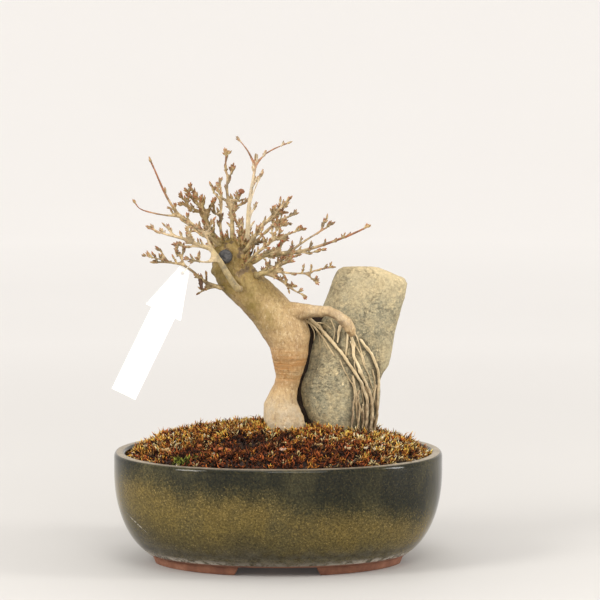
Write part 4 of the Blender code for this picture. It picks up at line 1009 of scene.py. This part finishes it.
def seat_branch(bm, trunk_tree):
    """Runs the branch's foot on into the trunk, with a slight flare."""
    foot = [v for v in bm.verts if trunk_tree.find_nearest(v.co)[3] < 1.3 * MM]
    if not foot:
        return
    centre = sum((v.co for v in foot), Vector()) / len(foot)
    for vert in foot:
        _, normal, _, distance = trunk_tree.find_nearest(vert.co)
        vert.co += (vert.co - centre) * 0.16 - normal * (distance + 1.6 * MM)


def make_head_spurs(material, trunk_tree):
    """Old spurs and buds that crowd the top of the trunk's head, between the branches."""
    rng = random.Random(61)
    wound = tree_of("wound_seal")
    twigs = Twigs(rng)
    for _ in range(52):
        away = Vector((rng.gauss(0.1, 0.7), rng.gauss(-0.1, 0.6), abs(rng.gauss(0.8, 0.4)))).normalized()
        start = Vector((rng.uniform(-38, -24), rng.uniform(-6, 6), rng.uniform(140, 150))) * MM + RIM
        hit = trunk_tree.ray_cast(start, away)[0]
        if hit is None or wound.find_nearest(hit)[3] < 9 * MM:
            continue
        lean = (away + Vector((0, 0, 0.35))).normalized()
        twigs.spur(hit, lean, rng.uniform(3, 9) * MM, rng.uniform(0.6, 1.0) * MM)
    add_piece("head_spurs", twigs.mesh("head_spurs"), material)


# What hangs on in the crown: x and height over the rim in mm, length and thickness in mm, and colour.
REMNANTS = (
    (-28.8, 198.6, 4.2, 2.3, (0.22, 0.075, 0.025)),  # a dried flower head
    (-0.8, 161.5, 4.5, 1.0, (0.5, 0.06, 0.02)),  # two red leaf stalks
    (-2.6, 158.5, 3.5, 0.9, (0.42, 0.06, 0.02)),
    (-59, 136, 13, 1.7, (0.11, 0.05, 0.022)),  # a dead leaf, rolled up
)


def make_remnants():
    """The dry bits that hang on in the crown."""
    s = Shader("dry_remnant", Roughness=0.7)
    s.colour(s.tinted(s.attribute("tone"), s.grains((900, 4), (0.3, 0.3), (0.7, 1.0)), 0.5))
    branches = tree_of(*SPURS)
    twigs = Twigs(random.Random(3))
    for x, height, length, thick, colour in REMNANTS:
        at = branches.find_nearest(Vector((x, -8, height)) * MM + RIM)[0]
        down = Vector((0.15, -0.3, -1 if length > 10 else 0.6)).normalized()
        path, radii = [], []
        for k in range(13):
            share = k / 12
            path.append(at + down * length * MM * (share - 0.1))
            swell = math.sin(math.pi * min(1, share + 0.06)) ** 0.7
            radii.append(thick * MM * swell * (1 + 0.2 * math.sin(k * 2.3)))
        twigs.tube(path, radii, [colour] * 13, 9)
    add_piece("crown_remnants", twigs.mesh("crown_remnants"), s.material)


def branch_tones(mesh, bm_tree, pale):
    """Red is young shoots, green is old wood and painted shade near the crown's middle, and blue is pale
    bark.
    """
    tones = []
    for v in mesh.vertices:
        thick = thickness_at(bm_tree, v.co, v.normal) / MM
        out = (v.co - CROWN).length / MM
        # Old wood where it is thick, and painted shade on all wood near the crown's middle.
        old = max(step(1.6, 4.5, thick), 1 - step(14, 34, out)) * 0.9
        young = step(58, 80, out) * 0.85
        tones.append((young, old, pale * (1 - 0.5 * old) * (1 - young)))
    paint(mesh, "tone", tones)


def joined(name, *meshes):
    """One mesh of several, each with a painted tone."""
    bm = bmesh.new()
    for mesh in meshes:
        bm.from_mesh(mesh)
    made = bpy.data.meshes.new(name)
    bm.to_mesh(made)
    bm.free()
    made.shade_smooth()
    return made


def make_branches(trunk_tree):
    """Each branch of the CAD model with smooth, rumpled bark and its spurs and buds."""
    material = twig_bark()
    for number, node in enumerate(sorted(SPURS)):
        rng = random.Random(100 + number)
        bm = quads_of(node)
        tree = BVHTree.FromBMesh(bm)
        twigs = grow_twigs(node, bm, tree, trunk_tree, rng)
        seat_branch(bm, trunk_tree)
        skin = subdivided(bm, node, 2)
        displace(skin, lambda p, n: 0.16 * MM * rumple(p, 3.5 * MM, 8, 3))
        branch_tones(skin, tree, SPURS[node][2])
        add_piece(node + "_wood", joined(node, skin, twigs), material, [node])
    make_head_spurs(material, trunk_tree)
    make_remnants()


# ---------------------------------------------------------------- moss


MOSS_EDGE = 3.5 * MM
MOUND_RISE = 20 * MM
SHOOTS_APART = 3.2 * MM
LEAVES = 7  # on each shoot
BLADE_POINTS = 7  # in each leaf: three at its foot, three at its middle and its tip
FRONT = -20 * MM  # y that the moss reaches the rim in front of
MOSS_PARTS = 3
HOLLOW = Vector((-25, -49)) * MM


def in_hollow(x, y):
    """1 in the middle of the sunken patch of moss in front of the trunk, which is painted dark as shadow,
    and 0 far from it.
    """
    return math.exp(-(((x - HOLLOW.x) / (23 * MM)) ** 2) - ((y - HOLLOW.y) / (12 * MM)) ** 2)


def mound(x, y):
    """The height of the moss bed: a low dome with clumps in it, and a hollow by the trunk."""
    out = math.hypot(x / (HALF_X - WALL), y / (HALF_Y - WALL))
    dome = RIM_Z - MOSS_EDGE + MOUND_RISE * (1 - min(1.0, out) ** 2.6)
    flat = Vector((x, y, 0))
    clumps = rumple(flat, 15 * MM, 2, 2) * 1.5 + rumple(flat, 5 * MM, 5, 2) * 0.7
    gap = 5 * step(0.86, 0.99, out) * step(-30, 5, y / MM)
    front_lip = 1.6 * step(0.8, 0.95, out) * step(-52, -66, y / MM)
    return dome + (clumps * step(1.02, 0.9, out) - 5 * in_hollow(x, y) - gap + front_lip) * MM


def moss_bed():
    """The dead base of the moss, which shows between the shoots, near-black partly as painted shade."""
    s = Shader("moss_bed", Roughness=0.95)
    s.colour(s.grains((420, 6, 0.7), (0.3, (0.006, 0.003, 0.002)), (0.55, (0.022, 0.009, 0.005)),
                      (0.75, (0.08, 0.033, 0.014))))
    s.bump(s.noise(700, 6, 0.7), 0.0012)
    return s.material


def make_moss_bed():
    """The mound that the shoots stand on, a skin 5 mm thick."""
    shares = [1 - (1 - k / 60) ** 1.3 for k in range(61)]
    rings = []
    for z_drop, order in ((5 * MM, shares[1:]), (0, shares[:0:-1])):
        for share in order:
            ring = []
            for p in oval(WALL + 0.2 * MM, 0):
                x, y = p.x * share, p.y * share
                ring.append(Vector((x, y, mound(x, y) - z_drop)))
            rings.append(ring)
    return add_piece("moss_carpet", lofted("moss_carpet", rings), moss_bed(), ["moss"])


def moss_colour(p, rng):
    """Golden at the back and right, red-brown along the front, and green in one small patch at its left;
    with painted shadow in broad patches and in the hollow in front of the trunk.
    """
    x, y = p.x / MM, p.y / MM
    clump = rumple(p, 11 * MM, 21, 3) * 0.5 + 0.5
    front = step(-28, -66, y + 10 * (clump - 0.5)) * step(95, 40, x) * step(-100, -60, x)
    gold = min(1.0, max(0.0, 0.2 + 0.9 * clump - 0.75 * front - 0.8 * in_hollow(p.x, p.y)))
    pick = rng.random()
    if pick < 0.2 * (0.25 + gold):
        colour = Vector((0.85, 0.6, 0.3))
    elif pick < 0.5 * gold + 0.06:
        colour = Vector((0.72, 0.36, 0.075))
    elif pick < 0.85 * gold + 0.2:
        colour = Vector((0.55, 0.205, 0.036))
    elif pick < 0.9:
        colour = Vector((0.3, 0.078, 0.02))
    else:
        colour = Vector((0.08, 0.024, 0.012))
    green = math.exp(-(((x + 68) / 9) ** 2) - ((y + 68) / 7) ** 2)
    if rng.random() < green:
        colour = Vector((0.22, 0.27, 0.04))
    # Painted shadow: broad darker patches, and deep shade in the hollow in front of the trunk.
    patch = max(0.15, 1.0 + 1.7 * rumple(p, 6 * MM, 51, 2))
    bright = (0.8 + 0.55 * gold) * rng.uniform(0.6, 1.3) * patch * (1 - 0.94 * in_hollow(p.x, p.y))
    return Vector((colour.x, colour.y * 0.9, colour.z * 0.75)) * bright


def shoot_places(standing, rng):
    """Where each moss shoot grows: its foot, direction, height and colour."""
    places = []
    rows = int(HALF_Y / SHOOTS_APART) + 1
    columns = int(HALF_X / SHOOTS_APART) + 1
    for row in range(-rows, rows + 1):
        for column in range(-columns, columns + 1):
            x = (column + 0.5 * (row % 2) + rng.uniform(-0.45, 0.45)) * SHOOTS_APART
            y = (row + rng.uniform(-0.45, 0.45)) * SHOOTS_APART * 0.95
            out = (abs(x) / (HALF_X - WALL)) ** OVAL_POWER + (abs(y) / (HALF_Y - WALL)) ** OVAL_POWER
            if out > (0.985 if y < FRONT else 0.93):
                continue
            p = Vector((x, y, mound(x, y)))
            if any(buried(tree, p) for tree in standing):
                continue
            rise_x, rise_y = mound(x + MM, y) - mound(x - MM, y), mound(x, y + MM) - mound(x, y - MM)
            slope = Vector((-rise_x, -rise_y, 2 * MM)).normalized()
            lean = Vector((rng.gauss(0, 0.33), rng.gauss(0, 0.33), 0))
            outward = Vector((x, y, 0)).normalized() * step(0.8, 0.99, out) * (1.3 if y < FRONT else 0.2)
            clump = rumple(Vector((x, y, 0)), 7 * MM, 31, 2)
            tall = 2.4 if rng.random() < 0.05 else 0.0
            height = (4.0 + 3.0 * clump + rng.uniform(0, 2.4) + tall) * MM * (1 - 0.5 * in_hollow(x, y))
            axis = (slope + lean + outward).normalized()
            places.append((p, axis, height, moss_colour(p, rng)))
    return places


def buried(tree, point):
    """Whether a point is in this solid or close against it."""
    near, normal, _, distance = tree.find_nearest(point)
    return (point - near).dot(normal) < 0 or distance < 0.4 * MM


def unit(rows):
    return rows / np.linalg.norm(rows, axis=1, keepdims=True)


def leafy_mesh(name, places, rng):
    """Curled, keeled leaves in a spiral up each shoot: a bent blade of two stretches and a point, with
    painted shade at its foot and keel and a painted highlight at its tip.
    """
    foot, axis = np.array([p[0] for p in places]), np.array([p[1] for p in places])
    tall, tint = np.array([p[2] for p in places])[:, None], np.array([p[3] for p in places])
    count = len(places)
    side = unit(np.cross(axis, unit(rng.normal(size=(count, 3)))))
    other = np.cross(axis, side)
    turn = rng.uniform(0, math.tau, (count, 1))
    verts, colours = [], []
    for k in range(LEAVES):
        share = (k + 0.6) / LEAVES
        angle = turn + 2.4 * k + rng.normal(0, 0.25, (count, 1))
        radial = side * np.cos(angle) + other * np.sin(angle)
        cross = np.cross(axis, radial)
        length = tall * rng.uniform(0.5, 1.0, (count, 1)) * (1.1 - 0.35 * share)
        start = foot + axis * tall * (share * 0.8 - 0.15)
        first = unit(axis * rng.uniform(0.5, 1.1, (count, 1)) + radial * (0.95 - 0.5 * share))
        curl = rng.normal(0.15, 0.75, (count, 1))
        second = unit(first + axis * curl * 0.8 + radial * -curl + cross * rng.normal(0, 0.4, (count, 1)))
        middle = start + first * length * 0.5
        tip = middle + second * length * 0.6
        keel = np.cross(first, cross)
        wide = rng.uniform(0.34, 0.66, (count, 1)) * MM
        for at, scale in ((start, 0.8), (middle, 1.0)):
            for across, down in ((-1, 0), (1, 0), (0, 1)):
                verts.append(at + cross * across * wide * scale + keel * down * wide * scale * 0.8)
        verts.append(tip)
        glow = rng.uniform(0.4, 1.6, (count, 1))
        # Painted shade and highlight: dark at each leaf's foot and keel, bright at its tip, and lighter up
        # the shoot.
        for shade in (0.05, 0.05, 0.02, 0.55, 0.55, 0.25, 2.1):
            colours.append(tint * glow * (shade * (0.45 + 0.7 * share)))
    points = np.stack(verts, 1).reshape(-1, 3)
    shades = np.stack(colours, 1).reshape(-1, 3)
    quads = [(0, 1, 4, 3), (1, 2, 5, 4), (2, 0, 3, 5)]
    triangles = [(3, 4, 6), (4, 5, 6), (5, 3, 6), (0, 2, 1)]
    starts = np.arange(count * LEAVES)[:, None] * BLADE_POINTS
    faces = []
    for shape in quads + triangles:
        faces += (starts + np.array(shape)).tolist()
    mesh = mesh_from(name, points.tolist(), faces)
    paint(mesh, "tint", np.clip(shades, 0, 1))
    return mesh


def moss_leaf():
    s = Shader("moss_leaf", Roughness=0.75, Specular_IOR_Level=0.2)
    # The tint attribute holds each leaf's colour with its painted shade and highlight.
    s.colour(s.tinted(s.attribute("tint"), s.grains((800, 3), (0.3, 0.4), (0.7, 1.0)), 0.6))
    return s.material


def make_moss(standing):
    """The moss bed, the litter on it, and shoots all over it, except under the standing solids."""
    make_moss_bed()
    make_litter()
    places = shoot_places(standing, random.Random(7))
    material = moss_leaf()
    for number in range(MOSS_PARTS):
        rng = np.random.default_rng(40 + number)
        first, last = (n * len(places) // MOSS_PARTS for n in (number, number + 1))
        mesh = leafy_mesh("moss_shoots", places[first:last], rng)
        add_piece(f"moss_shoots_{number + 1}", mesh, material)


LEAF_LONG, LEAF_WIDE = 8, 4  # quads along and across a bit of leaf
# Litter on the moss: x, y, length and width in mm, turn in degrees, and the colour.
LITTER = (
    (-44, -62, 7.0, 4.5, 20, (0.5, 0.12, 0.03)),
    (-36, -66, 6.0, 4.0, 110, (0.42, 0.1, 0.03)),
    (-58, -50, 5.0, 3.0, 60, (0.55, 0.17, 0.04)),
    (42, -32, 6.0, 3.5, 10, (0.6, 0.16, 0.03)),
    (4, -70, 7.0, 5.0, 75, (0.78, 0.5, 0.36)),
    (52, -60, 6.0, 2.5, 140, (0.8, 0.62, 0.35)),
    (66, -52, 7.0, 2.2, 60, (0.86, 0.74, 0.5)),
    (72, -50, 6.0, 2.2, 100, (0.86, 0.7, 0.45)),
    (-84, -44, 6.0, 2.5, 30, (0.7, 0.45, 0.2)),
    (-100, -20, 7.0, 2.2, 80, (0.66, 0.5, 0.28)),
    (30, -58, 5.0, 2.6, 165, (0.62, 0.4, 0.16)),
    (88, -36, 6.0, 2.4, 25, (0.7, 0.48, 0.2)),
    (-20, 48, 6.0, 3.5, 45, (0.6, 0.3, 0.1)),
    (60, 52, 6.0, 3.0, 130, (0.7, 0.45, 0.2)),
    (-70, 40, 6.0, 3.0, 15, (0.5, 0.22, 0.07)),
)


def leaf_points(number, length, width):
    """The upper and then the lower face of one cupped leaf, as rows of points in mm with their shades."""
    points = []
    for side in (0, 1):
        for i in range(LEAF_LONG + 1):
            for j in range(LEAF_WIDE + 1):
                u, v = i / LEAF_LONG * 2 - 1, j / LEAF_WIDE * 2 - 1
                across = v * width / 2 * math.sqrt(max(0.0, 1 - u * u * 0.93))
                cup = 1.3 * v * v + 1.1 * u * u + 0.7 * rumple(Vector((u, v, 0)), 0.9, number, 2)
                points.append((Vector((u * length / 2, across, cup - side * 0.35)), 1.15 - 0.4 * abs(v)))
    return points


def leaf_faces(start):
    """The faces of one leaf, whose first point has this index."""
    row = LEAF_WIDE + 1
    under = row * (LEAF_LONG + 1)
    faces = []
    for i in range(LEAF_LONG):
        for j in range(LEAF_WIDE):
            a = start + i * row + j
            faces.append((a, a + 1, a + row + 1, a + row))
            faces.append((a + under, a + under + row, a + under + row + 1, a + under + 1))
    rim = [i * row for i in range(LEAF_LONG + 1)] + [LEAF_LONG * row + j for j in range(1, row)]
    rim += [i * row + LEAF_WIDE for i in range(LEAF_LONG - 1, -1, -1)]
    rim += list(range(LEAF_WIDE - 1, 0, -1))
    for a, b in zip(rim, rim[1:] + rim[:1]):
        faces.append((start + a, start + b, start + b + under, start + a + under))
    return faces


def make_litter():
    """Curled bits of dry leaf that lie on the moss."""
    s = Shader("dry_leaf", Roughness=0.6)
    s.colour(s.tinted(s.attribute("tint"), s.grains((500, 5), (0.3, 0.45), (0.7, 1.0)), 0.6))
    s.bump(s.noise(600, 4), 0.0004)
    verts, faces, tints = [], [], []
    for number, (x, y, length, width, turn, colour) in enumerate(LITTER):
        faces += leaf_faces(len(verts))
        spin = Matrix.Rotation(math.radians(turn), 3, "Z")
        foot = Vector((x * MM, y * MM, mound(x * MM, y * MM) + 3.2 * MM))
        for point, shade in leaf_points(number, length, width):
            verts.append(foot + spin @ (point * MM))
            tints.append(Vector(colour) * shade)
    mesh = mesh_from("leaf_litter", verts, faces)
    paint(mesh, "tint", np.clip(tints, 0, 1))
    add_piece("leaf_litter", mesh, s.material)


# ---------------------------------------------------------------- small parts


def keep_node(node, material):
    """A CAD node whose shape is right, with a better material."""
    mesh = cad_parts[node].data
    mesh.materials.clear()
    mesh.materials.append(material)


def make_wound():
    """Cut paste with finger ridges, pressed over the scar."""
    s = Shader("cut_paste", Roughness=0.5)
    s.colour(s.grains((500, 5), (0.35, (0.012, 0.012, 0.014)), (0.7, (0.06, 0.055, 0.05))))
    s.bump(s.noise(1200, 5, 0.7), 0.0003)
    mesh = subdivided(quads_of("wound_seal"), "wound", 3)
    displace(mesh, lambda p, n: (0.5 + 0.35 * rumple(p, 2.6 * MM, 3, 3)) * MM)
    add_piece("wound_paste", mesh, s.material, ["wound_seal"])


def make_label():
    """Stiff white card with a little fibre in it."""
    s = Shader("label_card", Roughness=0.5)
    s.colour(s.grains((900, 4), (0.3, (0.86, 0.86, 0.85)), (0.7, (0.9, 0.9, 0.89))))
    s.bump(s.noise(2200, 3), 0.00004)
    keep_node("label", s.material)


def make_tie():
    s = Shader("tie_plastic", Roughness=0.4)
    s.colour(s.grains((700, 3), (0.3, (0.62, 0.56, 0.45)), (0.7, (0.78, 0.73, 0.62))))
    mesh = subdivided(quads_of("label_tie"), "tie", 2)
    add_piece("label_tie_string", mesh, s.material, ["label_tie"])


def grit():
    """Baked clay grains with painted shade in the gaps between them."""
    s = Shader("bonsai_grit", Roughness=0.95)
    apart = s.cells(420)
    tones = s.ramp(s.cells(420, output="Color"), (0.2, (0.12, 0.07, 0.04)), (0.8, (0.3, 0.22, 0.15)))
    s.colour(s.mix(s.ramp(apart, (0.2, 0.0), (0.7, 1.0)), tones, (0.015, 0.01, 0.007)))
    s.bump(apart, 0.001)
    return s.material


def make_drainage():
    """The soil, and the screens over the drain holes with their wires."""
    keep_node("soil", grit())
    screen = Shader("screen_plastic", Roughness=0.5)
    screen.colour(screen.grains((600, 4), (0.3, (0.015, 0.02, 0.018)), (0.7, (0.05, 0.055, 0.05))))
    wire = Shader("wire_metal", Metallic=1.0)
    wire.colour(wire.grains((500, 4), (0.3, (0.3, 0.2, 0.13)), (0.7, (0.5, 0.36, 0.25))))
    wire.set(wire.surface, "Roughness", wire.grains((900, 4), (0.3, 0.3), (0.7, 0.5)))
    for side in ("left", "right"):
        keep_node(f"drain_screen_{side}", screen.material)
        keep_node(f"screen_wire_{side}", wire.material)


# ---------------------------------------------------------------- camera, light and floor


STAGE_AROUND = 64
STAGE_FLAT, STAGE_BEND, STAGE_TOP = 3.2, 2.2, 7.0  # radius of the flat floor, of the bend, and the height


def stage_rings():
    """Circles from the middle of the floor out, up the bend and to the top of the wall."""
    profile = [(0.02, 0.0), (STAGE_FLAT, 0.0)]
    for k in range(1, 17):
        a = math.pi / 2 * k / 16
        profile.append((STAGE_FLAT + STAGE_BEND * math.sin(a), STAGE_BEND * (1 - math.cos(a))))
    profile.append((STAGE_FLAT + STAGE_BEND, STAGE_TOP))
    turns = [math.tau * i / STAGE_AROUND for i in range(STAGE_AROUND)]
    return [[Vector((r * math.cos(a), r * math.sin(a), z)) for a in turns] for r, z in profile]


def make_stage():
    """A round studio floor that curves up into its walls, so that it has no horizon from any side."""
    rings = stage_rings()
    faces = [tuple(range(STAGE_AROUND))]
    for r in range(len(rings) - 1):
        low, high = r * STAGE_AROUND, (r + 1) * STAGE_AROUND
        for i in range(STAGE_AROUND):
            j = (i + 1) % STAGE_AROUND
            faces.append((low + i, high + i, high + j, low + j))
    mesh = mesh_from("studio_floor", [p for ring in rings for p in ring], faces)
    floor = bpy.data.objects.new("studio_floor", mesh)
    bpy.context.scene.collection.objects.link(floor)
    s = Shader("pale_floor", Roughness=0.7)
    s.colour(s.grains((2, 2), (0.0, (0.43, 0.42, 0.405)), (1.0, (0.45, 0.44, 0.425))))
    far = s.times(s.node("VectorMath", {0: s.place}, operation="LENGTH")["Value"], 0.2)
    s.set(s.surface, "Emission Color", (1.0, 0.965, 0.935, 1))
    s.set(s.surface, "Emission Strength", s.ramp(
        far, (0.02, 0.03), (0.11, 0.17), (0.3, 0.37), (0.64, 0.47), (1.0, 0.49)))
    floor.data.materials.append(s.material)


def make_light(name, place, target, size, power, colour=(1, 1, 1)):
    data = bpy.data.lights.new(name, "AREA")
    data.shape = "RECTANGLE"
    data.size, data.size_y = size
    data.energy = power
    data.color = colour
    obj = bpy.data.objects.new(name, data)
    obj.location = place
    obj.rotation_euler = (Vector(target) - Vector(place)).to_track_quat("-Z", "Y").to_euler()
    bpy.context.scene.collection.objects.link(obj)


def light_scene():
    """A pale even surround, with four soft lights that shape the object a little."""
    world = bpy.data.worlds.new("studio")
    world.use_nodes = True
    background = world.node_tree.nodes["Background"]
    background.inputs["Color"].default_value = (1.0, 0.975, 0.95, 1)
    background.inputs["Strength"].default_value = 0.84
    bpy.context.scene.world = world
    centre = (0, 0, 0.16)
    make_light("left_softbox", (-1.25, -0.95, 0.95), centre, (0.5, 0.9), 23, (1, 0.975, 0.94))
    make_light("right_softbox", (1.35, -0.35, 0.6), centre, (0.3, 0.9), 14, (1, 0.98, 0.95))
    make_light("top_softbox", (-0.1, -0.1, 1.6), centre, (0.9, 0.7), 5.5, (1, 0.98, 0.95))
    make_light("front_softbox", (0.3, -1.5, 1.7), centre, (0.9, 0.4), 12.5, (1, 0.98, 0.95))
    bpy.context.scene.view_settings.view_transform = "Standard"


CAMERA_AIM = Vector((0.0167, 0, 0.199))
CAMERA_PLACE = Vector((0.0167, -2.19, 0.411))
LENS, SENSOR = 174, 36  # mm


def make_camera():
    data = bpy.data.cameras.new("camera")
    data.lens = LENS
    data.sensor_width = SENSOR
    obj = bpy.data.objects.new("camera", data)
    obj.location = CAMERA_PLACE
    obj.rotation_euler = (CAMERA_AIM - CAMERA_PLACE).to_track_quat("-Z", "Y").to_euler()
    bpy.context.scene.collection.objects.link(obj)
    bpy.context.scene.camera = obj


def main():
    make_camera()
    light_scene()
    make_stage()
    trunk_tree, rock_tree = tree_of("trunk"), tree_of("rock")
    make_pot()
    root_tree = tree_of(*(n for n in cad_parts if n.startswith("root_")))
    stone_piece = make_rock(trunk_tree, root_tree)
    make_trunk(rock_tree)
    make_roots(trunk_tree)
    make_strands(stone_piece)
    make_crevice_shadow_fill(trunk_tree, rock_tree)
    make_branches(trunk_tree)
    make_moss([trunk_tree, rock_tree])
    make_wound()
    make_label()
    make_tie()
    make_drainage()


main()
